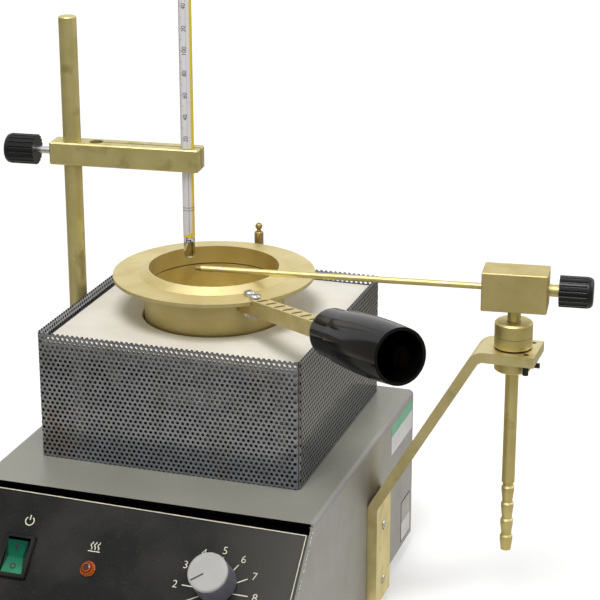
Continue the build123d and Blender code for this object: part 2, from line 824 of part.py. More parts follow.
with BuildPart() as handle_screws:
    for r, place in zip(screw_radii, screw_places):
        tip = nut_seat(r) - handle_nut_height - handle_screw_over
        with BuildSketch(Plane.XY.offset(tip)):
            with Locations(place):
                Circle(handle_screw_diameter / 2)
        extrude(amount=flange_top - tip)
        with BuildSketch(Plane.XY.offset(flange_top)):
            with Locations(place):
                Circle(handle_screw_head / 2)
        extrude(amount=handle_screw_head_height)
    fillet(handle_screws.edges().group_by(Axis.Z)[-1], 1.2)
    with BuildSketch(Plane.XY.offset(flange_top + handle_screw_head_height)):
        for place, turn in zip(screw_places, (20, 65)):
            with Locations(place):
                Rectangle(handle_screw_head, 0.8, rotation=turn)
    extrude(amount=-0.9, mode=Mode.SUBTRACT)
keep(handle_screws, "handle_screws")

with BuildPart() as handle_nuts:
    for r, place in zip(screw_radii, screw_places):
        with BuildSketch(Plane.XY.offset(nut_seat(r) - handle_nut_height)):
            with Locations(place):
                RegularPolygon(nut_corner, 6)
                Circle(handle_screw_diameter / 2, mode=Mode.SUBTRACT)
        extrude(amount=handle_nut_height)
keep(handle_nuts, "handle_nuts")

# The grip is turned round the bar's middle line; its outer end is hollow.
grip_side = Plane(origin=grip_plane.origin, x_dir=grip_plane.x_dir, z_dir=-grip_plane.y_dir)
grip_axis = Axis(grip_plane.origin, grip_plane.z_dir)
hollow_start = grip_socket + grip_web
hollow_radius = grip_end_diameter / 2 - grip_wall
step_height = (grip_shoulder_diameter - grip_step_diameter) / 2
with BuildPart() as handle_grip:
    with BuildSketch(grip_side):
        with BuildLine():
            shoulder_point = (grip_shoulder_diameter / 2, grip_step + step_height)
            mouth_point = (grip_end_diameter / 2, grip_length)
            Polyline(
                (0, hollow_start),
                (0, 0),
                (grip_neck_diameter / 2, 0),
                (grip_step_diameter / 2, grip_step),
                shoulder_point,
            )
            ThreePointArc(shoulder_point, (grip_belly_diameter / 2, grip_belly), mouth_point)
            Polyline(
                mouth_point,
                (hollow_radius, grip_length),
                (hollow_radius, hollow_start),
                (0, hollow_start),
            )
        grip_profile = make_face()
        neck_corner = grip_profile.vertices().sort_by_distance((grip_neck_diameter / 2, 0))[0]
        fillet(neck_corner, grip_neck_round)
        fillet(grip_profile.vertices().sort_by_distance(mouth_point)[0], grip_wall * 0.4)
        mouth_inner = (hollow_radius, grip_length)
        fillet(grip_profile.vertices().sort_by_distance(mouth_inner)[0], grip_wall * 0.3)
        hollow_corner = (hollow_radius, hollow_start)
        fillet(grip_profile.vertices().sort_by_distance(hollow_corner)[0], 3.0)
    revolve(axis=grip_axis)
    with BuildSketch(grip_plane):
        Rectangle(bar_depth, bar_width)
    extrude(amount=grip_socket, mode=Mode.SUBTRACT)
    with BuildSketch(grip_plane):
        Circle(grip_stud / 2)
    extrude(amount=hollow_start, mode=Mode.SUBTRACT)
keep(handle_grip, "handle_grip")

with BuildPart() as grip_nut:
    with BuildSketch(grip_plane.offset(hollow_start)):
        RegularPolygon(grip_nut_flats / sqrt(3), 6)
        Circle(grip_stud / 2, mode=Mode.SUBTRACT)
    extrude(amount=grip_nut_height)
keep(grip_nut, "grip_nut")

# ================================================================ thermometer stand
with BuildPart() as column_bush:
    with BuildSketch(Plane.XY.offset(deck)):
        with Locations((rod_x, 0)):
            Circle(bush_shoulder / 2)
    extrude(amount=bush_shoulder_height)
    chamfer(column_bush.edges().group_by(Axis.Z)[-1], 0.6)
    with BuildSketch(Plane.XY.offset(deck)):
        with Locations((rod_x, 0)):
            Circle(bush_neck_diameter / 2)
    extrude(amount=-(bush_socket + bush_floor))
    with BuildSketch(Plane.XY.offset(deck - bush_socket)):
        with Locations((rod_x, 0)):
            Circle(rod_diameter / 2 + running_gap)
    extrude(amount=bush_socket + bush_shoulder_height, mode=Mode.SUBTRACT)
keep(column_bush, "column_bush")

with BuildPart() as column_nut:
    with BuildSketch(Plane.XY.offset(deck - sheet - bush_nut_height)):
        with Locations((rod_x, 0)):
            RegularPolygon(bush_nut_flats / sqrt(3), 6, rotation=30)
            Circle(bush_neck_diameter / 2, mode=Mode.SUBTRACT)
    extrude(amount=bush_nut_height)
    chamfer(column_nut.faces().sort_by(Axis.Z)[-1].outer_wire().edges(), 0.9)
keep(column_nut, "column_nut")

with BuildPart() as column_rod:
    with BuildSketch(Plane.XY.offset(deck - bush_socket)):
        with Locations((rod_x, 0)):
            Circle(rod_diameter / 2)
    extrude(amount=bush_socket + rod_top_above_deck)
    chamfer(column_rod.edges().group_by(Axis.Z)[-1], 0.5)
keep(column_rod, "column_rod")

# arm_plane lies in the arm's underside: X along the arm, from the rod's axis.
arm_dir = Vector(cos(radians(arm_yaw)), sin(radians(arm_yaw)), 0)
arm_plane = Plane(origin=(rod_x, 0, deck + arm_bottom_above_deck), x_dir=arm_dir, z_dir=(0, 0, 1))
screw_level = arm_depth / 2
with BuildPart() as thermometer_arm:
    with BuildSketch(arm_plane):
        with Locations((arm_length / 2 - arm_behind_rod, 0)):
            Rectangle(arm_length, arm_width)
    extrude(amount=arm_depth)
    chamfer(thermometer_arm.edges(), arm_chamfer)
    with BuildSketch(arm_plane):
        Circle(rod_diameter / 2 + running_gap)
        with Locations((slit_hole_distance, 0)):
            Circle(slit_hole_diameter / 2)
        with Locations((thermometer_distance, 0)):
            Circle(stem_diameter / 2 + thermometer_bore_gap)
        with Locations(((slit_hole_distance + arm_length - arm_behind_rod) / 2, 0)):
            Rectangle(arm_length - arm_behind_rod - slit_hole_distance, arm_slit)
    extrude(amount=arm_depth, mode=Mode.SUBTRACT)
    with BuildSketch(Plane(arm_plane.from_local_coords((0, 0, screw_level)), z_dir=-arm_dir)):
        Circle(clamp_screw_diameter / 2 + running_gap)
    extrude(amount=arm_behind_rod, mode=Mode.SUBTRACT)
keep(thermometer_arm, "thermometer_arm")


def screw_knob(plane, bore):
    """Fluted grip knob standing on a plane, bored from below for its screw."""
    with BuildPart() as knob:
        with BuildSketch(plane):
            Circle(screw_knob_diameter / 2)
            with PolarLocations(screw_knob_diameter / 2 + flute_radius * 0.2, flute_count):
                Circle(flute_radius, mode=Mode.SUBTRACT)
        extrude(amount=screw_knob_length - flute_end)
        with BuildSketch(plane.offset(screw_knob_length - flute_end)):
            Circle(screw_knob_diameter / 2 - 0.15)
        extrude(amount=flute_end)
        crown = knob.faces().sort_by(Axis(plane.origin, plane.z_dir))[-1]
        fillet(crown.edges(), flute_end - 0.4)
        with BuildSketch(plane):
            Circle(bore / 2)
        extrude(amount=knob_boss_depth, mode=Mode.SUBTRACT)
    return knob


# Clamp screw along the arm: its tip stands just short of the rod.
clamp_plane = Plane(arm_plane.from_local_coords((0, 0, screw_level)), z_dir=-arm_dir)
clamp_tip = rod_diameter / 2 + running_gap
clamp_seat = arm_behind_rod + clamp_screw_shown
with BuildPart() as clamp_screw:
    with BuildSketch(clamp_plane.offset(clamp_tip)):
        Circle(clamp_screw_diameter / 2)
    extrude(amount=clamp_seat + knob_boss_depth - clamp_tip)
    chamfer(clamp_screw.faces().sort_by(Axis(clamp_plane.origin, arm_dir))[-1].edges(), 0.4)
keep(clamp_screw, "clamp_screw")
clamp_knob = screw_knob(clamp_plane.offset(clamp_seat), clamp_screw_diameter)
keep(clamp_knob, "clamp_knob")

# Thermometer: a glass stem that narrows where it is dipped, and a bulb of mercury.
thermometer_spot = arm_plane.from_local_coords((thermometer_distance, 0, 0))
bulb_bottom = deck + bulb_bottom_above_deck
with BuildPart() as thermometer_stem:
    with BuildSketch(Plane.XY.offset(bulb_bottom + bulb_length)):
        with Locations((thermometer_spot.X, thermometer_spot.Y)):
            Circle(immersed_diameter / 2)
    extrude(amount=thermometer_step - bulb_length)
    with BuildSketch(Plane.XY.offset(bulb_bottom + thermometer_step)):
        with Locations((thermometer_spot.X, thermometer_spot.Y)):
            Circle(stem_diameter / 2)
    extrude(amount=thermometer_length - thermometer_step)
    fillet(thermometer_stem.edges().group_by(Axis.Z)[-1], 2.6)
keep(thermometer_stem, "thermometer_stem")

with BuildPart() as thermometer_bulb:
    with BuildSketch(Plane.XY.offset(bulb_bottom)):
        with Locations((thermometer_spot.X, thermometer_spot.Y)):
            Circle(immersed_diameter / 2 - 0.1)
    extrude(amount=bulb_length)
    fillet(thermometer_bulb.edges().group_by(Axis.Z)[0], 2.2)
keep(thermometer_bulb, "thermometer_bulb")

# ================================================================ burner stand
# One flat bar, bent: leg on the housing's side, strut, level plate under the pivot.
leg_x = half_width + bar_stock_thickness / 2
plate_level = deck + plate_top_above_deck - bar_stock_thickness / 2
plate_underside = deck + plate_top_above_deck - bar_stock_thickness
plate_top = deck + plate_top_above_deck
stop_places = [(pivot_x + stop_screw_x, y) for y in (-stop_screw_y, stop_screw_y)]
with BuildPart() as burner_bracket:
    with BuildSketch(Plane.XZ):
        with BuildLine():
            FilletPolyline(
                (leg_x, leg_bottom),
                (leg_x, deck + leg_bend_above_deck),
                (pivot_x - plate_bend, plate_level),
                (pivot_x + plate_end, plate_level),
                radius=bracket_bend,
            )
        trace(line_width=bar_stock_thickness)
    extrude(amount=bar_stock_width / 2, both=True)
    with BuildSketch(Plane.XY.offset(plate_underside)):
        with Locations((pivot_x, 0)):
            Circle(pivot_neck / 2)
        with Locations(*stop_places):
            Circle(stop_screw_diameter / 2)
    extrude(amount=bar_stock_thickness, mode=Mode.SUBTRACT)
    with BuildSketch(Plane.YZ.offset(half_width)):
        with Locations(*[(0, z) for z in bracket_screw_levels]):
            Circle(bracket_screw_diameter / 2)
    extrude(amount=bar_stock_thickness, mode=Mode.SUBTRACT)
keep(burner_bracket, "burner_bracket")

bracket_face = half_width + bar_stock_thickness
nut_side = half_width - sheet
with BuildPart() as bracket_screws:
    for z in bracket_screw_levels:
        with BuildSketch(Plane.YZ.offset(bracket_face)):
            with Locations((0, z)):
                Circle(bracket_screw_head / 2)
        extrude(amount=bracket_screw_head_height)
    chamfer(bracket_screws.edges().group_by(Axis.X)[-1], bracket_screw_head_height * 0.5)
    for z in bracket_screw_levels:
        with BuildSketch(Plane.YZ.offset(bracket_face + bracket_screw_head_height)):
            with Locations((0, z)):
                Rectangle(bracket_screw_head, 0.9, rotation=35)
        extrude(amount=-1.0, mode=Mode.SUBTRACT)
        with BuildSketch(Plane.YZ.offset(bracket_face)):
            with Locations((0, z)):
                Circle(bracket_screw_diameter / 2)
        extrude(amount=-(bar_stock_thickness + sheet + bracket_nut_height + 1))
keep(bracket_screws, "bracket_screws")

with BuildPart() as bracket_nuts:
    with BuildSketch(Plane.YZ.offset(nut_side)):
        with Locations(*[(0, z) for z in bracket_screw_levels]):
            RegularPolygon(bracket_nut_flats / sqrt(3), 6)
            Circle(bracket_screw_diameter / 2, mode=Mode.SUBTRACT)
    extrude(amount=-bracket_nut_height)
keep(bracket_nuts, "bracket_nuts")

# Pivot: a flanged bush through the plate, clamped by a ring from below.
ring_bottom = plate_underside - ring_height
collar_top = plate_top + lower_collar_height
with BuildPart() as pivot_bush:
    with BuildSketch(Plane.XY.offset(plate_top)):
        with Locations((pivot_x, 0)):
            Circle(collar_diameter / 2)
    extrude(amount=lower_collar_height)
    chamfer(pivot_bush.edges().group_by(Axis.Z)[0], collar_chamfer)
    with BuildSketch(Plane.XY.offset(ring_bottom)):
        with Locations((pivot_x, 0)):
            Circle(pivot_neck / 2)
    extrude(amount=plate_top - ring_bottom)
    with BuildSketch(Plane.XY.offset(ring_bottom)):
        with Locations((pivot_x, 0)):
            Circle(tube_diameter / 2 + running_gap)
    extrude(amount=collar_top - ring_bottom, mode=Mode.SUBTRACT)
keep(pivot_bush, "pivot_bush")

ring_side = Plane.YZ.offset(pivot_x)
with BuildPart() as bush_ring:
    with BuildSketch(Plane.XY.offset(ring_bottom)):
        with Locations((pivot_x, 0)):
            Circle(ring_diameter / 2)
            Circle(pivot_neck / 2, mode=Mode.SUBTRACT)
    extrude(amount=ring_height)
    chamfer(bush_ring.faces().sort_by(Axis.Z)[0].outer_wire().edges(), 0.6)
    with BuildSketch(ring_side):
        with Locations((0, ring_bottom + ring_height / 2)):
            Circle(ring_screw_diameter / 2)
    extrude(amount=ring_diameter, mode=Mode.SUBTRACT)
keep(bush_ring, "bush_ring")

with BuildPart() as ring_screw:
    with BuildSketch(ring_side.offset(pivot_neck / 2)):
        with Locations((0, ring_bottom + ring_height / 2)):
            Circle(ring_screw_diameter / 2)
    extrude(amount=(ring_diameter - pivot_neck) / 2 + ring_screw_shown)
keep(ring_screw, "ring_screw")

# Two screws in the plate beside the bush: one reaches below, the other is flush.
with BuildPart() as stop_screws:
    with BuildSketch(Plane.XY.offset(plate_underside - stop_screw_drop)):
        with Locations(stop_places[0]):
            Circle(stop_screw_diameter / 2)
    extrude(amount=bar_stock_thickness + stop_screw_drop)
    with BuildSketch(Plane.XY.offset(plate_underside)):
        with Locations(stop_places[1]):
            Circle(stop_screw_diameter / 2)
    extrude(amount=bar_stock_thickness)
keep(stop_screws, "stop_screws")

# ---------------------------------------------------------------- burner that swings
# head_plane: X from the pivot's axis towards the valve knob, the jet points along -X.
head_dir = Vector(cos(radians(burner_yaw)), sin(radians(burner_yaw)), 0)
head_plane = Plane(origin=(pivot_x, 0, 0), x_dir=head_dir, z_dir=(0, 0, 1))
jet_level = deck + jet_above_deck
block_bottom = deck + block_bottom_above_deck
# jet_plane stands on the pivot's axis at the jet's height, looking along the jet.
jet_plane = Plane(origin=(pivot_x, 0, jet_level), x_dir=(0, 0, 1), z_dir=-head_dir)
upper_collar_bottom = collar_top + turning_face_gap

tube_bottom = deck + tube_bottom_above_deck
with BuildPart() as gas_tube:
    with BuildSketch(Plane.XZ):
        with BuildLine():
            points = [(tube_bore / 2, tube_bottom), (barb_root / 2, tube_bottom)]
            for i in range(barb_count):
                start = tube_bottom + 0.6 + i * barb_pitch
                points.append((barb_root / 2, start))
                points.append((tube_diameter / 2, start + barb_pitch * 0.55))
                points.append((tube_diameter / 2, start + barb_pitch * 0.75))
                points.append((barb_root / 2, start + barb_pitch * 0.85))
            shaft_start = tube_bottom + 0.6 + barb_count * barb_pitch
            points.append((barb_root / 2, shaft_start))
            points.append((tube_diameter / 2, shaft_start + 0.6))
            points.append((tube_diameter / 2, block_bottom + tube_socket))
            points.append((tube_bore / 2, block_bottom + tube_socket))
            points.append(points[0])
            Polyline(*points)
        make_face()
    revolve(axis=Axis.Z)
gas_tube.part = gas_tube.part.moved(Location((pivot_x, 0, 0)))
keep(gas_tube, "gas_tube")

collar_screw_level = upper_collar_bottom + upper_collar_height / 2
collar_side = Plane(origin=(pivot_x, 0, collar_screw_level), x_dir=(0, 0, 1), z_dir=head_dir)
with BuildPart() as upper_collar:
    with BuildSketch(Plane.XY.offset(upper_collar_bottom)):
        with Locations((pivot_x, 0)):
            Circle(collar_diameter / 2)
            Circle(tube_diameter / 2, mode=Mode.SUBTRACT)
    extrude(amount=upper_collar_height)
    chamfer(upper_collar.faces().sort_by(Axis.Z)[-1].outer_wire().edges(), collar_chamfer)
    with BuildSketch(collar_side):
        Circle(collar_screw_diameter / 2)
    extrude(amount=collar_diameter, mode=Mode.SUBTRACT)
keep(upper_collar, "upper_collar")

with BuildPart() as collar_screw:
    with BuildSketch(collar_side.offset(tube_diameter / 2)):
        Circle(collar_screw_diameter / 2)
    extrude(amount=(collar_diameter - tube_diameter) / 2 - collar_screw_sunk)
keep(collar_screw, "collar_screw")

block_front = block_length - block_back
with BuildPart() as valve_block:
    with BuildSketch(head_plane.offset(block_bottom)):
        with Locations((block_front - block_length / 2, 0)):
            Rectangle(block_length, block_width)
    extrude(amount=block_height)
    chamfer(valve_block.edges(), block_edge)
    with BuildSketch(head_plane.offset(block_bottom)):
        Circle(tube_diameter / 2)
    extrude(amount=tube_socket, mode=Mode.SUBTRACT)
    with BuildSketch(head_plane.offset(block_bottom)):
        Circle(gas_passage / 2)
    extrude(amount=jet_level - block_bottom, mode=Mode.SUBTRACT)
    with BuildSketch(jet_plane):
        Circle(gas_passage / 2)
    extrude(amount=block_back, both=True, mode=Mode.SUBTRACT)
    with BuildSketch(jet_plane.offset(block_back)):
        Circle(jet_diameter / 2)
    extrude(amount=-jet_socket, mode=Mode.SUBTRACT)
    with BuildSketch(jet_plane.offset(-block_front)):
        Circle(valve_spindle_diameter / 2 + running_gap)
    extrude(amount=valve_spindle_depth + 0.3, mode=Mode.SUBTRACT)
keep(valve_block, "valve_block")

jet_base = block_back - jet_socket
tip_start = jet_reach - jet_tip_length
with BuildPart() as jet_tube:
    with BuildSketch(jet_plane.offset(jet_base)):
        Circle(jet_diameter / 2)
        Circle(jet_bore / 2, mode=Mode.SUBTRACT)
    extrude(amount=tip_start - jet_base)
keep(jet_tube, "jet_tube")

with BuildPart() as jet_tip:
    with BuildSketch(jet_plane.offset(tip_start)):
        Circle(jet_diameter / 2 - 0.05)
        Circle(jet_bore / 2, mode=Mode.SUBTRACT)
    with BuildSketch(jet_plane.offset(jet_reach)):
        Circle(jet_tip_end / 2)
        Circle(jet_bore / 2, mode=Mode.SUBTRACT)
    loft()
keep(jet_tip, "jet_tip")

valve_plane = Plane(origin=jet_plane.origin, x_dir=(0, 0, 1), z_dir=head_dir)
spindle_end = block_front - valve_spindle_depth
valve_seat = block_front + valve_spindle_shown
with BuildPart() as valve_spindle:
    with BuildSketch(valve_plane.offset(spindle_end)):
        Circle(valve_spindle_diameter / 2)
    extrude(amount=valve_seat + knob_boss_depth - spindle_end)
    chamfer(valve_spindle.faces().sort_by(Axis(valve_plane.origin, -head_dir))[-1].edges(), 1.0)
keep(valve_spindle, "valve_spindle")
valve_knob = screw_knob(valve_plane.offset(valve_seat), valve_spindle_diameter)
keep(valve_knob, "valve_knob")

# ---------------------------------------------------------------- comparison bead
shoulder = deck + bead_shoulder_above_deck
with BuildPart() as bead_post:
    with BuildSketch(Plane.XY.offset(board_top)):
        with Locations((bead_x, bead_y)):
            Circle(bead_post_diameter / 2)
    extrude(amount=shoulder - board_top)
    chamfer(bead_post.edges().group_by(Axis.Z)[-1], 0.4)
    with BuildSketch(Plane.XY.offset(board_bottom - bead_nut_height - 0.6)):
        with Locations((bead_x, bead_y)):
            Circle(bead_stud / 2)
    extrude(amount=board_top - board_bottom + bead_nut_height + 0.6)
    with BuildSketch(Plane.XY.offset(shoulder)):
        with Locations((bead_x, bead_y)):
            Circle(bead_neck_diameter / 2)
    extrude(amount=bead_neck_length)
keep(bead_post, "bead_post")

# The bead is a ball with a small flat that sits on the post's neck.
bead_flat = sqrt(bead_diameter**2 - bead_neck_diameter**2) / 2
bead_level = shoulder + bead_neck_length + bead_flat
with BuildPart() as comparison_bead:
    with BuildSketch(Plane.XZ):
        with BuildLine():
            low = (bead_neck_diameter / 2, bead_level - bead_flat)
            side = (bead_diameter / 2, bead_level)
            top = (0, bead_level + bead_diameter / 2)
            Polyline(top, (0, low[1]), low)
            ThreePointArc(low, side, top)
        make_face()
    revolve(axis=Axis.Z)
comparison_bead.part = comparison_bead.part.moved(Location((bead_x, bead_y, 0)))
keep(comparison_bead, "comparison_bead")

with BuildPart() as bead_nut:
    with BuildSketch(Plane.XY.offset(board_bottom - bead_nut_height)):
        with Locations((bead_x, bead_y)):
            RegularPolygon(bead_nut_flats / sqrt(3), 6)
            Circle(bead_stud / 2, mode=Mode.SUBTRACT)
    extrude(amount=bead_nut_height)
keep(bead_nut, "bead_nut")
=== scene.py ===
import bmesh
import bpy
import json
from math import cos, pi, radians, sin, sqrt, tan
from mathutils import Matrix, Vector


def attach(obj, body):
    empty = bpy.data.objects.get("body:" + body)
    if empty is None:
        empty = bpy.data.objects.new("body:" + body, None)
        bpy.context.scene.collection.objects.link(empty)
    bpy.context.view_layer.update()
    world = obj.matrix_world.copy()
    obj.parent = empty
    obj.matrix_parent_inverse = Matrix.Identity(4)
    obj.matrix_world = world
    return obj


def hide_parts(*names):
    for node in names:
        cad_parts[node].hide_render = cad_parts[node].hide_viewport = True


# The looks of the open cup flash point tester. Sizes are in millimetres, in the frame of the
# solids, and become metres through MM. The camera, the lamps and the stage are in metres, and
# noise scales are per metre.
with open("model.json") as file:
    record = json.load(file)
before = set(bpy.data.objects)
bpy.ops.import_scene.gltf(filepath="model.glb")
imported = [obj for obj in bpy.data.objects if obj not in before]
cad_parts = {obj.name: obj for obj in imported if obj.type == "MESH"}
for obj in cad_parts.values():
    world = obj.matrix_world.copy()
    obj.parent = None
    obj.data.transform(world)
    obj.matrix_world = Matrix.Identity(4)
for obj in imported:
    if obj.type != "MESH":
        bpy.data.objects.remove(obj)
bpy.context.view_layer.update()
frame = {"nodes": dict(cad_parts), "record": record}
nodes = frame["nodes"]
scene = bpy.context.scene
MM = 0.001

# Sizes of the housing.
DECK = 90.0
HALF_WIDTH = 82.5
COVER_SHEET = 1.5
COVER_FRONT = -97.0  # Y of the cover's cut edge above the fascia
SIDE_FAR = 20.0  # Y from which the painted reflection on the right side turns cooler still
CHIPPED_RIM = 0.35  # width of the chipped edge on the right

# Sizes of the fascia and its prints.
PANEL_TOP = (0.0, -95.232, 86.732)  # middle of the fascia's upper edge, on its face
FASCIA_HALF = 81.0
FASCIA_LENGTH = 77.0
PRINT_DEPTH = 0.05
MARK_DEPTH = 0.04  # of the marks on the rocker and the knob
FILM_TURN = -0.72  # degrees that the film's border lies askew
BORDER_IN = 1.9  # from the fascia's side edges
BORDER_DOWN = 2.35  # of the border's top line at the fascia's middle
BORDER_UP = 3.0  # of its bottom line, from the fascia's lower edge
BORDER_WIDTH = 0.42
GLARE_START = 35.0  # X from which a painted reflection makes the film paler
# Spots on the fascia, in millimetres across and up from PANEL_TOP.
SWITCH = (-54.0, -33.0)
LAMP = (-18.0, -33.8)
DIAL = (43.4, -34.6)  # middle of the printed ring of numbers
KNOB = (43.4, -31.1)
POWER_SIGN = (-52.6, -15.4)
HEATER_SIGN = (-17.6, -22.5)
DIAL_TURN = 1.2  # degrees clockwise that the ring lies askew
DIAL_NUMBER_RADIUS = 19.0
DIAL_NUMBER_SIZE = 5.1
DIAL_NUMBER_THIN = 0.04
DIAL_STEP = 30.0  # degrees between two numbers
DIAL_COUNT = 11
DIAL_TICK_START = 7.6
DIAL_TICK_END = 15.7
DIAL_TICK_WIDTH = 0.48
SIGN_STROKE = 0.5
POWER_RADIUS = 2.1
POWER_ARC = (128, 412)  # degrees, open at the top
POWER_BAR = (0.5, 2.9)
WAVE_STROKE = 0.45
WAVE_SWAY = 0.42
WAVE_HEIGHT = 3.8
WAVE_STEPS = 14
WAVE_PLACES = (-1.7, 0.0, 1.7)
WAVE_BASE = (3.0, -2.7)  # half length and level of the line under the waves

# Sizes of the knob and rocker.
KNOB_TOP = 15.8
POINTER_ANGLE = -127.0  # degrees clockwise from up-slope
POINTER_START = 1.8
POINTER_END = 8.2
POINTER_WIDTH = 0.7
ROCKER_HALF = 7.5  # half length
ROCKER_FIELD = 3.4  # half width of the paler field at the ridge
ROCKER_AXIS = -2.6  # height of its axis over the fascia
ROCKER_MIDDLE = 3.6  # of its ridge, from its axis
ROCKER_TILT = 9.0
MARK_PLACE = 4.3  # along each face, from the ridge
ON_MARK = (1.6, 1.1)  # half length and width
OFF_MARK = (1.2, 0.65)  # radius and width

# Sizes of the guard and board.
GUARD_HALF = 65.25
GUARD_HEIGHT = 63.0
GUARD_SHEET = 1.0
GUARD_BEND = 2.5
GUARD_FOOT = 9.0
HOLE_DIAMETER = 1.65
HOLE_PITCH = 2.5
HOLE_ROWS = 29  # row pitches from the bottom edge to the top edge
SEAM_GAP = 0.25
RUST_SPOT = (-62.0, -66.0, 100.0)
RUST_REACH = 24.0
BOARD_MIDDLE = (0.0, 0.0, 148.0)  # on its top face
SOIL_REACH = 58.0

# Sizes of the cup and handle bar.
CUP_RADIUS = 34.2
FLANGE_RADIUS = 49.25
FLANGE_BOTTOM = 167.6
BAR_TOP = 170.0  # of the handle bar at the flange's edge
BAR_AZIMUTH = -44.5
BAR_RISE = 8.5
FIRST_SLOT = 4.5  # from the flange's edge
SLOT_PITCH = 8.75
SLOT_COUNT = 7
SLOT_LENGTH = 5.7
SLOT_DEPTH = 1.2
SLOT_MARGIN = 3.2  # width of a slot together with its margins of painted shade
GROOVE_REACH = 1.6  # over which painted shade darkens grooves in brass

# Sizes of the thermometer.
STEM_AXIS = (-14.62, 5.11)
STEM_RADIUS = 3.2
IMMERSED_RADIUS = 2.85
BULB_BOTTOM = 173.2
BULB_TOP = 184.2
BULB_TIP = 1.3  # height of the clear glass below the mercury
BULB_BAND = 2.6  # height of the blotched band at the bulb's top
STRIPE_AZIMUTH = -40.4
STRIPE_HALF = 0.2  # half width of the painted reflection stripe's core
NECK_TOP = 186.0
NECK_FACING = -160.0  # azimuth toward which the neck's yellow slants down
NECK_SLANT = 0.45
STEM_STEP = 223.2  # level where the stem gets thicker
ZERO_MARK = 223.2
DEGREE = 10.7 / 20  # millimetres of scale for one degree
SCALE_TOP = 400
SCALE_FACING = -84.0  # azimuth that the numbers face
STEM_NUMBER_SIZE = 3.0
STEM_NUMBER_SLICE = 0.3
TICK_AZIMUTH = -143.0
SHORT_TICK = -121.0
LONG_TICK = -104.0
STEM_TICK_HALF = 0.09
RING_HALF = 0.12
RING_STEPS = 40
IMMERSION_LINES = (198.0, 199.4)
BACKING_FACING = 55.0  # azimuth that the middle of the yellow backing faces
THREAD_AZIMUTH = -66.0
NECK_THREAD = 5.0  # degrees wide
STEM_THREAD = 6.0
THREAD_GAP = 0.2  # on both sides of the stem's step
THREAD_TOP = 475.2  # 6 below the stem's top
STEM_INK = 0.03  # thickness of the ink

# Sizes of the labels on the right side.
LABEL_BACK = 69.9
LABEL_FRONT = 30.6
LABEL_TOP = 85.8
LABEL_SPLIT = 79.8
LABEL_BOTTOM = 69.9
LABEL_DEPTH = 0.12
PLATE_FRONT = 51.5
PLATE_BACK = 67.5
PLATE_TOP = 34.0
PLATE_SPLIT = 22.5
PLATE_BOTTOM = 12.5
PLATE_DEPTH = 0.2
PLATE_RIM = 0.5
PLATE_RIM_DEPTH = 0.1

SHARP_ANGLE = 35.0


# ------------ finishes
def srgb(red, green, blue):
    """A colour given as it shows on a screen, 0 to 255, in linear values."""
    values = []
    for shown in (red, green, blue):
        part = shown / 255
        values.append(part / 12.92 if part <= 0.04045 else ((part + 0.055) / 1.055) ** 2.4)
    return (*values, 1.0)


def panel_point(across, up_slope, outward):
    """A point on the fascia, in millimetres from PANEL_TOP, in the frame."""
    half = sqrt(0.5)
    y = PANEL_TOP[1] + (up_slope - outward) * half
    z = PANEL_TOP[2] + (up_slope + outward) * half
    return (across, y, z)


def add_node(tree, kind, inputs=None, **settings):
    """A new node in a tree, with its inputs linked to sockets or set to values."""
    made = tree.nodes.new("ShaderNode" + kind)
    for name, value in settings.items():
        setattr(made, name, value)
    for socket, value in (inputs or {}).items():
        if isinstance(value, bpy.types.NodeSocket):
            tree.links.new(value, made.inputs[socket])
        else:
            made.inputs[socket].default_value = value
    return made


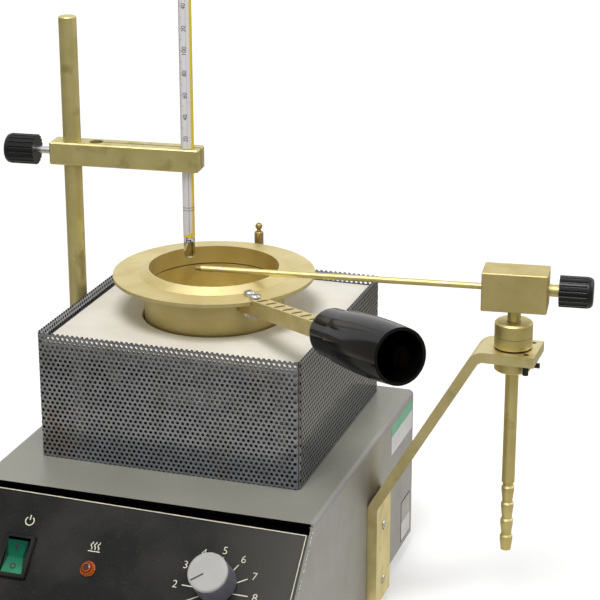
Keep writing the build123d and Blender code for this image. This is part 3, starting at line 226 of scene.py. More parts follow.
class Finish:
    """A Principled material whose colour, roughness and bump come from its nodes."""

    def __init__(self, name, **sockets):
        self.material = bpy.data.materials.new(name)
        self.material.use_nodes = True
        self.tree = self.material.node_tree
        self.shader = self.tree.nodes["Principled BSDF"]
        for socket, value in sockets.items():
            self.shader.inputs[socket.replace("_", " ")].default_value = value
        self.place = self.node("TexCoord").outputs["Object"]

    def node(self, kind, inputs=None, **settings):
        """A new node in the material's tree."""
        return add_node(self.tree, kind, inputs, **settings)

    def noise(self, scale, detail=3.0, stretch=(1, 1, 1), offset=(0, 0, 0)):
        """Soft noise about 0.5, finer with a greater scale."""
        moved = self.node("Mapping", {"Vector": self.place, "Scale": stretch, "Location": offset})
        sockets = {"Vector": moved.outputs[0], "Scale": scale, "Detail": detail}
        return self.node("TexNoise", sockets).outputs["Fac"]

    def spread(self, source, low, high, to_low=0.0, to_high=1.0):
        """The source's range from low to high, as a value from to_low to to_high."""
        sockets = {"Value": source, "From Min": low, "From Max": high, "To Min": to_low, "To Max": to_high}
        return self.node("MapRange", sockets).outputs["Result"]

    def patches(self, scale, detail, *ends):
        """Noise that is spread between the given ends."""
        return self.spread(self.noise(scale, detail), *ends)

    def math(self, operation, first, second=0.0):
        """The result of an operation on one or two values."""
        return self.node("Math", {0: first, 1: second}, operation=operation).outputs[0]

    def vector(self, operation, first, second=(0, 0, 0)):
        """The outputs of an operation on one or two vectors."""
        return self.node("VectorMath", {0: first, 1: second}, operation=operation).outputs

    def both(self, *shares):
        """The product of shares, which is 1 where all of them are 1."""
        product = shares[0]
        for share in shares[1:]:
            product = self.math("MULTIPLY", product, share)
        return product

    def mix(self, share, first, second):
        """The first colour, turning into the second as the share goes from 0 to 1.

        A colour is a socket, or three values from 0 to 255 as they show on a screen.
        """
        first, second = (srgb(*one) if isinstance(one, tuple) else one for one in (first, second))
        return self.node("Mix", {0: share, 6: first, 7: second}, data_type="RGBA").outputs[2]

    def tint(self, colour, share, most, shade):
        """The colour, turned by at most a given part toward a shade where the share is 1."""
        return self.mix(self.math("MULTIPLY", share, most), colour, shade)

    def way_from(self, point):
        """The vector from a point given in millimetres, in metres."""
        spot = tuple(value * MM for value in point)
        return self.vector("SUBTRACT", self.place, spot)[0]

    def near(self, point, reach):
        """1 at a point, given in millimetres, and 0 from the reach outward."""
        away = self.vector("LENGTH", self.way_from(point))["Value"]
        return self.spread(away, 0.0, reach * MM, 1.0, 0.0)

    def above_plane(self, point, normal):
        """Height over a plane through a point given in millimetres, in metres."""
        way = tuple(Vector(normal).normalized())
        return self.vector("DOT_PRODUCT", self.way_from(point), way)["Value"]

    def beyond(self, point, normal, fade=0.1):
        """0 up to a plane, and 1 from a fade given in millimetres above it."""
        return self.spread(self.above_plane(point, normal), 0.0, fade * MM)

    def off_axis(self, point, way):
        """Distance from the axis through a point given in millimetres, in metres."""
        crossed = self.vector("CROSS_PRODUCT", self.way_from(point), tuple(Vector(way).normalized()))[0]
        return self.vector("LENGTH", crossed)["Value"]

    def bump(self, height, depth, normal=None):
        """Raise the surface by a height of 0 to 1 times the depth in millimetres."""
        sockets = {"Height": height, "Distance": depth * MM, "Strength": 1.0}
        if normal is not None:
            sockets["Normal"] = normal
        return self.node("Bump", sockets).outputs["Normal"]

    def use(self, **sockets):
        """Link node sockets to the shader, and give back the material."""
        for socket, value in sockets.items():
            self.tree.links.new(value, self.shader.inputs[socket.replace("_", " ")])
        return self.material


def enamel():
    """Baked grey paint with a fine orange peel, chipped on the console's right cut edge."""
    finish = Finish("grey_enamel")
    cloud = finish.patches(34, 4.0, 0.3, 0.7)
    colour = finish.mix(cloud, (140, 139, 128), (148, 147, 136))
    speck = finish.patches(1500, 1.0, 0.35, 0.68)
    colour = finish.tint(colour, speck, 0.35, (120, 119, 108))

    # Painted reflection: the right side is tinted cooler, most of all at its back.
    side = finish.beyond((HALF_WIDTH - COVER_SHEET - 0.1, 0, 0), (1, 0, 0))
    back = finish.beyond((0, SIDE_FAR, 0), (0, 1, 0), 30.0)
    colour = finish.tint(colour, side, 0.6, (144, 142, 144))
    colour = finish.tint(colour, finish.both(side, back), 0.5, (140, 132, 138))

    # The cut edge of the top, over the fascia, is in deep shade.
    front = finish.beyond((0, COVER_FRONT + 0.03, 0), (0, -1, 0), 0.01)
    top = finish.beyond((0, 0, DECK - COVER_SHEET - 0.1), (0, 0, 1))
    shaded = finish.both(front, top, finish.math("SUBTRACT", 1.0, side))
    colour = finish.mix(shaded, colour, (5, 5, 5))
    gloss = finish.math("MULTIPLY", finish.math("SUBTRACT", 1.0, shaded), 0.5)

    # The sloping cut edge of the right side is painted darker as shade, with bare chips along its outer rim.
    slope = finish.above_plane((0, COVER_FRONT, DECK - COVER_SHEET), (0, -1, 1))
    cut = finish.both(finish.spread(slope, -0.14 * MM, -0.08 * MM), side)
    colour = finish.mix(cut, colour, (108, 109, 97))
    rim = finish.beyond((HALF_WIDTH - CHIPPED_RIM, 0, 0), (1, 0, 0))
    chips = finish.patches(1250, 2.0, 0.5, 0.58)
    colour = finish.mix(finish.both(cut, rim, chips), colour, (210, 208, 200))

    rough = finish.patches(60, 3.0, 0.3, 0.7, 0.3, 0.42)
    peel = finish.bump(finish.noise(520, 2.0), 0.05)
    grain = finish.bump(finish.noise(2300, 2.0), 0.02, peel)
    return finish.use(Base_Color=colour, Roughness=rough, Specular_IOR_Level=gloss, Normal=grain)


def fascia_film():
    """Dark printed film, matt, with faint smudges, a painted reflection that pales it toward the right, and
    painted shade, near black, above the border's top line.
    """
    finish = Finish("fascia_film")
    smudge = finish.patches(42, 4.0, 0.38, 0.66)
    colour = finish.mix(smudge, (17, 17, 16), (40, 39, 36))
    # Painted reflection: the film pales toward its right end.
    glare = finish.beyond((GLARE_START, 0, 0), (1, 0, 0), 40.0)
    colour = finish.tint(colour, glare, 0.8, (72, 70, 64))
    dust = finish.patches(900, 2.0, 0.62, 0.74)
    colour = finish.tint(colour, dust, 0.2, (80, 78, 73))
    # Painted shade: near black and without gloss above the border's top line, in the recess under the cover.
    turn = radians(FILM_TURN)
    half = sqrt(0.5) * cos(turn)
    top_line = panel_point(0, BORDER_WIDTH / 2 - BORDER_DOWN, 0)
    strip = finish.above_plane(top_line, (-sin(turn), half, half))
    colour = finish.mix(finish.spread(strip, 0.0, 0.1 * MM), colour, (4, 4, 4))
    gloss = finish.spread(strip, 0.0, 0.1 * MM, 0.14, 0.0)
    rough = finish.spread(smudge, 0.0, 1.0, 0.38, 0.48)
    return finish.use(Base_Color=colour, Roughness=rough, Specular_IOR_Level=gloss,
                      Normal=finish.bump(finish.noise(1700, 2.0), 0.012))


def outer_cup_wall(finish):
    """A share of 1 on the cup's wall below its flange, where painted shade goes, and 0 elsewhere on the cup.
    """
    radius = finish.off_axis((0, 0, 0), (0, 0, 1))
    outside = finish.spread(radius, (CUP_RADIUS - 0.6) * MM, (CUP_RADIUS - 0.4) * MM)
    return finish.both(outside, finish.beyond((0, 0, FLANGE_BOTTOM), (0, 0, -1)))


def bar_slots(finish):
    """A share of 1 in the handle bar's slots and on their margins, where painted shade goes, and 0 elsewhere
    on the bar.
    """
    turn = radians(BAR_AZIMUTH)
    rise = tan(radians(BAR_RISE))
    along = Vector((cos(turn), sin(turn), rise)).normalized()
    edge = Vector((FLANGE_RADIUS * cos(turn), FLANGE_RADIUS * sin(turn), BAR_TOP))
    length = finish.above_plane(edge + FIRST_SLOT * along, along)
    from_slot = finish.math("PINGPONG", length, SLOT_PITCH / 2 * MM)
    across = finish.math("ABSOLUTE", finish.above_plane((0, 0, 0), (-sin(turn), cos(turn), 0)))
    half = SLOT_MARGIN / 2
    straight = (SLOT_LENGTH / 2 - half) * MM
    past_straight = finish.math("MAXIMUM", finish.math("SUBTRACT", across, straight))
    squares = [finish.math("POWER", away, 2.0) for away in (past_straight, from_slot)]
    away = finish.math("SQRT", finish.math("ADD", *squares))
    inside = finish.spread(away, (half + 0.1) * MM, (half - 0.1) * MM)
    height = finish.above_plane(edge, (-rise * cos(turn), -rise * sin(turn), 1))
    near_top = finish.spread(height, -(SLOT_DEPTH + 0.4) * MM, -(SLOT_DEPTH + 0.3) * MM)
    end = (SLOT_COUNT - 0.5) * SLOT_PITCH
    return finish.both(inside, near_top, finish.spread(length, end * MM, (end - 1.0) * MM))


def brass(name, light, dark, stain_share, roughness, painted_shade=None):
    """Satin brass, more or less tarnished, with painted shade in its grooves.

    Where given, painted_shade holds a function that marks an area of painted shade, the share of its tint,
    and its shade.
    """
    finish = Finish(name, Metallic=1.0)
    cloud = finish.patches(75, 4.0, 0.34, 0.68)
    colour = finish.mix(cloud, light, dark)
    stain = finish.spread(finish.noise(110, 4.0, offset=(3, 1, 2)), 0.56, 0.76)
    colour = finish.tint(colour, stain, stain_share, (140, 127, 70))
    # Painted shade: ambient occlusion darkens the brass in its grooves and creases.
    groove_shade = finish.node("AmbientOcclusion", {"Distance": GROOVE_REACH * MM}, samples=6)
    colour = finish.mix(finish.spread(groove_shade.outputs["AO"], 0.6, 0.25), colour, (84, 72, 38))
    # Painted shade on a given area, such as the cup's wall under its flange or the handle bar's slots.
    if painted_shade:
        place, most, shade = painted_shade
        colour = finish.tint(colour, place(finish), most, shade)
    rough = finish.patches(120, 3.0, 0.3, 0.7, roughness - 0.04, roughness + 0.05)
    return finish.use(Base_Color=colour, Roughness=rough, Normal=finish.bump(finish.noise(2600, 2.0), 0.008))


def steel(name, light, dark, roughness, metallic=1.0, grain=900):
    """Plated or plain steel with fine mottling."""
    finish = Finish(name, Metallic=metallic)
    mottle = finish.patches(grain, 3.0, 0.35, 0.68)
    rough = finish.patches(grain * 1.7, 2.0, 0.3, 0.7, roughness - 0.06, roughness + 0.06)
    return finish.use(Base_Color=finish.mix(mottle, light, dark), Roughness=rough,
                      Normal=finish.bump(finish.noise(3200, 1.0), 0.004))


def guard_sheet():
    """Perforated steel, dulled by heat in streaks, with painted shade on the walls of its holes and on its
    right side, and rust low at its left corner.
    """
    finish = Finish("guard_sheet", Metallic=0.9)
    mottle = finish.patches(180, 3.0, 0.32, 0.7)
    colour = finish.mix(mottle, (160, 163, 174), (140, 143, 153))
    streak = finish.spread(finish.noise(60, 3.0, stretch=(1, 1, 0.3)), 0.5, 0.75)
    colour = finish.tint(colour, streak, 0.25, (134, 124, 108))
    blotch = finish.patches(210, 3.0, 0.35, 0.65)
    patch = finish.both(finish.near(RUST_SPOT, RUST_REACH), blotch)
    colour = finish.tint(colour, patch, 0.6, (150, 112, 62))

    # Painted shade darkens the walls of the holes, which lie between the sheet's outer and inner face.
    # Depth is counted outward from a square that has the centres of the bends as its corners.
    inner = GUARD_HALF - GUARD_BEND
    squares = []
    for way in ((1, 0, 0), (0, 1, 0)):
        there = finish.above_plane([value * inner for value in way], way)
        back = finish.above_plane([-value * inner for value in way], [-value for value in way])
        outward = finish.math("MAXIMUM", finish.math("MAXIMUM", there, back))
        squares.append(finish.math("MULTIPLY", outward, outward))
    depth = finish.math("SQRT", finish.math("ADD", *squares))
    outer_end = finish.spread(depth, (GUARD_BEND - 0.1) * MM, (GUARD_BEND - 0.3) * MM)
    inner_face = GUARD_BEND - GUARD_SHEET
    inner_end = finish.spread(depth, inner_face * MM, (inner_face + 0.1) * MM)
    colour = finish.mix(finish.both(outer_end, inner_end), colour, (46, 46, 47))

    # Painted shade darkens the guard's right side.
    shaded_right_side = finish.beyond((GUARD_HALF - 1.2, 0, 0), (1, 0, 0), 0.6)
    colour = finish.tint(colour, shaded_right_side, 0.6, (96, 96, 96))
    rough = finish.patches(160, 3.0, 0.3, 0.7, 0.14, 0.22)
    return finish.use(Base_Color=colour, Roughness=rough, Normal=finish.bump(finish.noise(1400, 2.0), 0.005))


def fibre_board():
    """Pale insulating board, matt, slightly pitted and soiled near the cup."""
    finish = Finish("fibre_board", Specular_IOR_Level=0.2)
    cloud = finish.patches(48, 5.0, 0.35, 0.68)
    colour = finish.mix(cloud, (236, 232, 221), (227, 222, 210))
    blotch = finish.patches(90, 4.0, 0.42, 0.7)
    soil = finish.both(finish.near(BOARD_MIDDLE, SOIL_REACH), blotch)
    colour = finish.tint(colour, soil, 0.5, (196, 186, 166))
    pits = finish.patches(900, 3.0, 0.3, 0.6)
    rough = finish.spread(cloud, 0.0, 1.0, 0.85, 0.95)
    return finish.use(Base_Color=colour, Roughness=rough, Normal=finish.bump(pits, 0.06))


def plastic(name, light, dark, roughness, grain=1200, depth=0.006, **sockets):
    """Moulded plastic with a little unevenness in colour and gloss."""
    finish = Finish(name, **sockets)
    cloud = finish.patches(70, 3.0, 0.35, 0.68)
    rough = finish.patches(140, 3.0, 0.3, 0.7, roughness * 0.8, roughness * 1.25)
    return finish.use(Base_Color=finish.mix(cloud, light, dark), Roughness=rough,
                      Normal=finish.bump(finish.noise(grain, 2.0), depth))


def amber_lens():
    """Clear amber, with rings of light and dark painted as reflections in the lens, round a dark middle."""
    finish = Finish("amber_lens", Specular_IOR_Level=0.2, Coat_Weight=0.25, Coat_Roughness=0.03,
                    Roughness=0.12)
    away = finish.off_axis(panel_point(LAMP[0], LAMP[1], 0.0), (0, -1, 1))
    colour = finish.mix(finish.spread(away, 0.7 * MM, 1.4 * MM), (70, 26, 4), (40, 14, 2))
    # Painted reflections: rings of light and dark in the lens.
    for start, shade in (
        (1.5, (192, 82, 14)),
        (2.0, (74, 26, 4)),
        (2.6, (204, 104, 30)),
    ):
        colour = finish.mix(finish.spread(away, start * MM, (start + 0.3) * MM), colour, shade)
    cloud = finish.patches(500, 2.0, 0.35, 0.7)
    return finish.use(Base_Color=finish.tint(colour, cloud, 0.35, (110, 44, 10)))


def stem_glass():
    """Enamel-backed glass: pale in front, yellow behind, and yellow round the bulb's neck."""
    finish = Finish("stem_glass", Coat_Weight=0.7, Coat_Roughness=0.03)
    cloud = finish.spread(finish.noise(90, 3.0, stretch=(1, 1, 0.1)), 0.35, 0.68)
    colour = finish.mix(cloud, (216, 213, 215), (208, 205, 207))
    facing = radians(BACKING_FACING)
    behind = finish.beyond((*STEM_AXIS, 0.0), (cos(facing), sin(facing), 0))
    slant = radians(NECK_FACING)
    neck_way = (NECK_SLANT * cos(slant), NECK_SLANT * sin(slant), 1.0)
    neck = finish.spread(finish.above_plane((*STEM_AXIS, NECK_TOP), neck_way), 0.1 * MM, 0.0)
    yellow = finish.math("MAXIMUM", behind, neck)
    colour = finish.mix(yellow, colour, (220, 194, 44))
    return finish.use(Base_Color=colour, Roughness=finish.spread(cloud, 0.0, 1.0, 0.08, 0.12))


def bulb_mercury():
    """Mercury behind glass: a dark stripe painted as a reflection, a blotched band at its neck and a clear
    glass tip.
    """
    finish = Finish("mercury", Roughness=0.07, Coat_Weight=1.0, Coat_Roughness=0.02)
    cloud = finish.patches(60, 2.0, 0.3, 0.7)
    colour = finish.mix(cloud, (210, 206, 196), (196, 192, 184))
    # Painted reflection: a dark stripe down the mercury.
    across = radians(STRIPE_AZIMUTH) + pi / 2
    stripe = finish.above_plane((*STEM_AXIS, 0.0), (cos(across), sin(across), 0))
    core = STRIPE_HALF * MM
    inside = finish.both(finish.spread(stripe, -2 * core, -core), finish.spread(stripe, 2 * core, core))
    colour = finish.tint(colour, inside, 0.85, (58, 46, 24))
    blotch = finish.patches(900, 1.0, 0.42, 0.52)
    band = finish.beyond((0, 0, BULB_TOP - BULB_BAND), (0, 0, 1))
    colour = finish.mix(band, colour, finish.mix(blotch, (34, 40, 78), (214, 218, 228)))
    tip = finish.spread(finish.above_plane((0, 0, BULB_BOTTOM + BULB_TIP), (0, 0, 1)), 0.0, -0.1 * MM)
    colour = finish.mix(tip, colour, (240, 242, 238))
    metal = finish.math("SUBTRACT", 1.0, finish.math("MAXIMUM", tip, band))
    clear = finish.math("MULTIPLY", tip, 0.85)
    return finish.use(Base_Color=colour, Metallic=metal, Transmission_Weight=clear)


def green_rocker():
    """Green translucent plastic, with painted light making it paler toward its lower end, and dark along
    both sides.
    """
    finish = Finish("green_rocker", Specular_IOR_Level=0.16)
    upper_end = panel_point(SWITCH[0], SWITCH[1] + ROCKER_HALF, 0.0)
    down = finish.above_plane(upper_end, (0, -1, -1))
    # Painted light: the rocker pales from its upper end toward its lower end.
    colour = finish.mix(finish.spread(down, 0.0, 8 * MM), (4, 60, 49), (10, 98, 70))
    colour = finish.mix(finish.spread(down, 8 * MM, 15 * MM), colour, (60, 140, 104))
    cloud = finish.patches(160, 3.0, 0.35, 0.7)
    colour = finish.tint(colour, cloud, 0.3, (6, 70, 54))
    across = finish.math("ABSOLUTE", finish.above_plane((SWITCH[0], 0, 0), (1, 0, 0)))
    from_ridge = finish.math("ABSOLUTE", finish.math("SUBTRACT", down, ROCKER_HALF * MM))
    field = finish.math("ADD", finish.math("MULTIPLY", from_ridge, 0.2), ROCKER_FIELD * MM)
    margin = finish.spread(finish.math("SUBTRACT", across, field), 0.0, 0.4 * MM)
    colour = finish.tint(colour, margin, 0.85, (3, 34, 27))
    return finish.use(Base_Color=colour, Roughness=finish.spread(cloud, 0.0, 1.0, 0.16, 0.24))


MATERIALS = {
    "grey_paint": enamel(),
    "rubber": plastic("foot_rubber", (44, 44, 44), (34, 34, 34), 0.75, depth=0.03),
    "fascia_black": fascia_film(),
    "green_rocker": green_rocker(),
    "amber_lens": amber_lens(),
    "black_plastic": plastic("black_plastic", (22, 23, 24), (16, 17, 18), 0.3, depth=0.008,
                             Specular_IOR_Level=0.28),
    "bakelite": plastic("bakelite", (10, 10, 10), (6, 6, 6), 0.09, grain=260, depth=0.003,
                        Specular_IOR_Level=0.24),
    "knob_grey": plastic("knob_cap", (178, 177, 173), (171, 170, 166), 0.42, depth=0.006,
                         Specular_IOR_Level=0.3),
    "zinc_steel": steel("zinc_steel", (206, 206, 204), (180, 180, 180), 0.26),
    "dark_steel": steel("dark_steel", (40, 39, 38), (26, 25, 25), 0.38, metallic=0.4),
    "guard_steel": guard_sheet(),
    "board_white": fibre_board(),
    "element_ceramic": plastic("element_ceramic", (196, 188, 172), (176, 166, 148), 0.8, depth=0.05),
    "plate_aluminium": steel("plate_aluminium", (196, 196, 194), (166, 164, 160), 0.4, grain=420),
    "brass_satin": brass("satin_brass", (214, 201, 146), (203, 189, 128), 0.4, 0.5),
    "stem_glass": stem_glass(),
    "mercury": bulb_mercury(),
}
OWN_FINISHES = (
    (["control_knob"], plastic("knob_body", (108, 107, 119), (100, 99, 111), 0.4, depth=0.006)),
    # Painted shade darkens the cup's wall under its flange.
    (["test_cup"], brass("cup_brass", (222, 207, 154), (212, 196, 138), 0.15, 0.45,
                         (outer_cup_wall, 0.3, (112, 98, 46)))),
    # Painted shade darkens the handle bar's slots and their margins.
    (["handle_bar"], brass("bar_brass", (214, 199, 147), (204, 188, 132), 0.15, 0.45,
                           (bar_slots, 0.9, (160, 136, 68)))),
    (["valve_block"], brass("clean_brass", (204, 189, 137), (194, 178, 123), 0.25, 0.58)),
    (["burner_bracket"], brass("bent_brass", (226, 213, 164), (212, 198, 146), 0.3, 0.45)),
    (["bead_post", "comparison_bead", "jet_tip"],
     brass("brown_brass", (176, 154, 106), (152, 130, 86), 0.5, 0.45)),
    (["column_rod", "thermometer_arm"],
     brass("tarnished_brass", (211, 200, 146), (199, 187, 130), 0.6, 0.48)),
)
for row in frame["record"]["materials"]:
    assert row["slot"] in MATERIALS, row["slot"]
for node in nodes.values():
    for held in node.material_slots:
        held.material = MATERIALS[held.material.name.split(".")[0]]
for names, material in OWN_FINISHES:
    for name in names:
        nodes[name].material_slots[0].material = material

PRINT_CREAM = plastic("print_cream", (222, 217, 193), (212, 206, 181), 0.5)
PRINT_BLACK = plastic("print_black", (20, 20, 20), (14, 14, 14), 0.5)
INK_GREY = plastic("ink_grey", (48, 46, 50), (38, 36, 40), 0.4)
THREAD_GREY = plastic("thread_grey", (132, 130, 140), (120, 118, 128), 0.2)
THREAD_PALE = plastic("thread_pale", (194, 191, 194), (184, 181, 185), 0.2)
POINTER_GREY = plastic("pointer_grey", (44, 42, 46), (36, 34, 38), 0.5)
LABEL_GREEN = plastic("label_green", (108, 178, 148), (98, 168, 138), 0.4)
LABEL_PALE = plastic("label_pale", (214, 214, 216), (204, 204, 207), 0.45)
LABEL_GREY = plastic("label_grey", (168, 164, 164), (158, 154, 154), 0.4)


# ------------ making pieces
def piece_of(name, mesh, material, body):
    """Put a mesh in the scene as a piece that rides on a body."""
    mesh.materials.clear()
    mesh.materials.append(material)
    for polygon in mesh.polygons:
        polygon.use_smooth = True
    mesh.set_sharp_from_angle(angle=radians(SHARP_ANGLE))
    piece = bpy.data.objects.new(name, mesh)
    scene.collection.objects.link(piece)
    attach(piece, body)
    return piece


def closed_mesh(name, points, faces):
    """A mesh from points in millimetres, with its faces turned outward."""
    mesh = bpy.data.meshes.new(name)
    mesh.from_pydata([Vector(point) * MM for point in points], [], faces)
    shell = bmesh.new()
    shell.from_mesh(mesh)
    bmesh.ops.recalc_face_normals(shell, faces=shell.faces)
    shell.to_mesh(mesh)
    shell.free()
    return mesh


def plane_at(origin, x_way, outward):
    """A matrix whose XY plane passes through a point given in millimetres."""
    z_axis = Vector(outward).normalized()
    x_axis = Vector(x_way).normalized()
    turned = Matrix((x_axis, z_axis.cross(x_axis), z_axis)).transposed().to_4x4()
    turned.translation = Vector(origin)
    return turned


def slab(outline, depth, place):
    """Points and faces of a flat shape with a thickness, laid on a plane."""
    count = len(outline)
    points = [place @ Vector((x, y, z)) for z in (0.0, depth) for x, y in outline]
    faces = [tuple(range(count))[::-1], tuple(range(count, 2 * count))]
    for i in range(count):
        following = (i + 1) % count
        faces.append((i, following, following + count, i + count))
    return points, faces


def bar(start, end, width):
    """Outline of a straight stroke from start to end."""
    along = (Vector(end) - Vector(start)).normalized()
    side = Vector((-along.y, along.x)) * width / 2
    return [tuple(Vector(p) + way * side) for p, way in ((start, -1), (end, -1), (end, 1), (start, 1))]


def arc_points(radius, first, last, steps, centre=(0.0, 0.0)):
    """Points along an arc, with its angles in degrees from +X."""
    angles = [radians(first + (last - first) * i / steps) for i in range(steps + 1)]
    return [(centre[0] + radius * cos(a), centre[1] + radius * sin(a)) for a in angles]


def stroke(path, width):
    """Outline of a stroke of even width along a path of points."""
    left, right = [], []
    for i, point in enumerate(path):
        before = Vector(path[max(i - 1, 0)])
        after = Vector(path[min(i + 1, len(path) - 1)])
        along = (after - before).normalized()
        side = Vector((-along.y, along.x)) * width / 2
        left.append(tuple(Vector(point) + side))
        right.append(tuple(Vector(point) - side))
    return left + right[::-1]


def join_up(parts):
    """Several (points, faces) as one."""
    points, faces = [], []
    for some_points, some_faces in parts:
        start = len(points)
        points += some_points
        faces += [tuple(i + start for i in face) for face in some_faces]
    return points, faces


def joined_piece(name, parts, material, body):
    """Several (points, faces) as one piece."""
    points, faces = join_up(parts)
    return piece_of(name, closed_mesh(name, points, faces), material, body)


def prints(name, outlines, place, material, body, depth=PRINT_DEPTH):
    """Flat printed marks on a plane, as one piece."""
    joined_piece(name, [slab(outline, depth, place) for outline in outlines], material, body)


def sliced(points, faces, step):
    """The same shape with its faces cut at every step across, so that it can be bent."""
    shell = bmesh.new()
    corners = [shell.verts.new(point) for point in points]
    for face in faces:
        shell.faces.new([corners[i] for i in face])
    reach = max(abs(point.y) for point in points)
    for i in range(1, 2 * int(reach / step) + 2):
        level = (i // 2) * step * (1 if i % 2 else -1)
        everything = list(shell.verts) + list(shell.edges) + list(shell.faces)
        bmesh.ops.bisect_plane(shell, geom=everything, plane_co=(0, level, 0), plane_no=(0, 1, 0))
    shell.verts.index_update()
    points = [vertex.co.copy() for vertex in shell.verts]
    faces = [tuple(vertex.index for vertex in face.verts) for face in shell.faces]
    shell.free()
    return points, faces


def word_mesh(words, size, depth=PRINT_DEPTH, thin=0.0):
    """(points, faces) of upright lettering about the origin, in millimetres."""
    curve = bpy.data.curves.new("words", "FONT")
    curve.body = words
    curve.size = size
    curve.align_x = "CENTER"
    curve.align_y = "CENTER"
    curve.extrude = depth / 2
    curve.offset = -thin
    holder = bpy.data.objects.new("words", curve)
    mesh = bpy.data.meshes.new_from_object(holder)
    points = [vertex.co + Vector((0, 0, depth / 2)) for vertex in mesh.vertices]
    low = min(point.y for point in points)
    high = max(point.y for point in points)
    points = [point - Vector((0, (low + high) / 2, 0)) for point in points]
    faces = [tuple(polygon.vertices) for polygon in mesh.polygons]
    bpy.data.objects.remove(holder)
    bpy.data.curves.remove(curve)
    bpy.data.meshes.remove(mesh)
    return points, faces


# ------------ perforated guard
def guard_path():
    """Length of the guard's strip, and a function from a length along it to (place, outward)."""
    inner = GUARD_HALF - GUARD_BEND
    straight = 2 * inner
    middle_radius = GUARD_BEND - GUARD_SHEET / 2
    bend = middle_radius * pi / 2
    corners = [(inner, -inner), (inner, inner), (-inner, inner), (-inner, -inner)]

    def at(length):
        """Walks round from the middle of the front right bend, counter-clockwise."""
        length += bend / 2
        leg = int(length // (straight + bend)) % 4
        rest = length % (straight + bend)
        start = -pi / 2 + leg * pi / 2
        centre = Vector(corners[leg])
        if rest < bend:
            angle = start + rest / middle_radius
            outward = Vector((cos(angle), sin(angle)))
            return centre + middle_radius * outward, outward
        outward = Vector((cos(start + pi / 2), sin(start + pi / 2)))
        along = Vector((-outward.y, outward.x))
        return centre + middle_radius * outward + along * (rest - bend), outward

    return 4 * (straight + bend), at


def guard_mesh():
    """The perforated strip with its staggered round holes, both edges cut through a row."""
    whole, at = guard_path()
    used = whole - SEAM_GAP
    columns = round(used / HOLE_PITCH)
    pitch = used / columns
    row_pitch = GUARD_HEIGHT / HOLE_ROWS
    radius = HOLE_DIAMETER / 2
    points, faces, known = [], [], {}

    def point(length, level, side):
        """A new point on the strip's outer face, side 1, or on its inner face, side -1."""
        place, outward = at(SEAM_GAP / 2 + length)
        spot = place + outward * side * GUARD_SHEET / 2
        points.append((spot.x, spot.y, DECK + level))
        return len(points) - 1

    def corner(column, row, side):
        """A point of the lattice of half pitches, shared between cells."""
        key = (column, row, side)
        if key not in known:
            known[key] = point(column * pitch / 2, row * row_pitch / 2, side)
        return known[key]

    ring = [(1, 0), (1, 1), (0, 1), (-1, 1), (-1, 0), (-1, -1), (0, -1), (1, -1)]

    def cell(column, row):
        """Sheet round one hole. A hole on the top or bottom edge is a half hole."""
        steps = range(8)
        if row == 0:
            steps = range(4)
        elif row == 2 * HOLE_ROWS:
            steps = range(4, 8)
        rims = {}
        for side in (1, -1):
            for step in sorted(set(list(steps) + [(i + 1) % 8 for i in steps])):
                angle = step * pi / 4
                length = column * pitch / 2 + radius * cos(angle)
                rims[step, side] = point(length, row * row_pitch / 2 + radius * sin(angle), side)
        for step in steps:
            after = (step + 1) % 8
            for side in (1, -1):
                first = corner(column + ring[step][0], row + ring[step][1], side)
                second = corner(column + ring[after][0], row + ring[after][1], side)
                faces.append((first, second, rims[after, side], rims[step, side]))
            faces.append((rims[step, 1], rims[after, 1], rims[after, -1], rims[step, -1]))
        if len(steps) == 4:
            for step, way in ((0, 1), (4, -1)):
                outer = [corner(column + way, row, side) for side in (1, -1)]
                faces.append((outer[0], outer[1], rims[step, -1], rims[step, 1]))

    def plain(column, row):
        """Half a cell of sheet without a hole, at the strip's ends."""
        rows = (row - 1, row, row + 1)
        if row == 0:
            rows = (0, 1)
        elif row == 2 * HOLE_ROWS:
            rows = (row - 1, row)
        for low, high in zip(rows, rows[1:]):
            for side in (1, -1):
                faces.append((corner(column, low, side), corner(column + 1, low, side),
                              corner(column + 1, high, side), corner(column, high, side)))
        if row in (0, 2 * HOLE_ROWS):
            faces.append((corner(column, row, 1), corner(column + 1, row, 1),
                          corner(column + 1, row, -1), corner(column, row, -1)))

    for index in range(HOLE_ROWS + 1):
        row = 2 * index
        if index % 2 == 0:
            for number in range(columns):
                cell(2 * number + 1, row)
        else:
            plain(0, row)
            for number in range(1, columns):
                cell(2 * number, row)
            plain(2 * columns - 1, row)
    for column in (0, 2 * columns):
        for row in range(2 * HOLE_ROWS):
            faces.append((corner(column, row, 1), corner(column, row + 1, 1),
                          corner(column, row + 1, -1), corner(column, row, -1)))
    return points, faces


def guard_feet():
    """The foot of each wall, turned inward on the deck."""
    inner = GUARD_HALF - GUARD_SHEET
    outline = [(-inner, -inner), (inner, -inner), (inner - GUARD_FOOT, -inner + GUARD_FOOT),
               (-inner + GUARD_FOOT, -inner + GUARD_FOOT)]
    quarter = Matrix.Rotation(pi / 2, 4, "Z")
    place = Matrix.Translation((0, 0, DECK))
    feet = []
    for _ in range(4):
        feet.append(slab(outline, GUARD_SHEET, place))
        place = quarter @ place
    return feet


guard = joined_piece("guard_perforated", [guard_mesh()] + guard_feet(), MATERIALS["guard_steel"],
                     "housing")
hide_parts("heat_guard")

# ------------ console prints
panel = plane_at(PANEL_TOP, (1, 0, 0), (0, -1, 1))


def on_panel(spot):
    """A plane on the fascia about a spot, in millimetres across and up from PANEL_TOP."""
    return panel @ Matrix.Translation((spot[0], spot[1], 0))


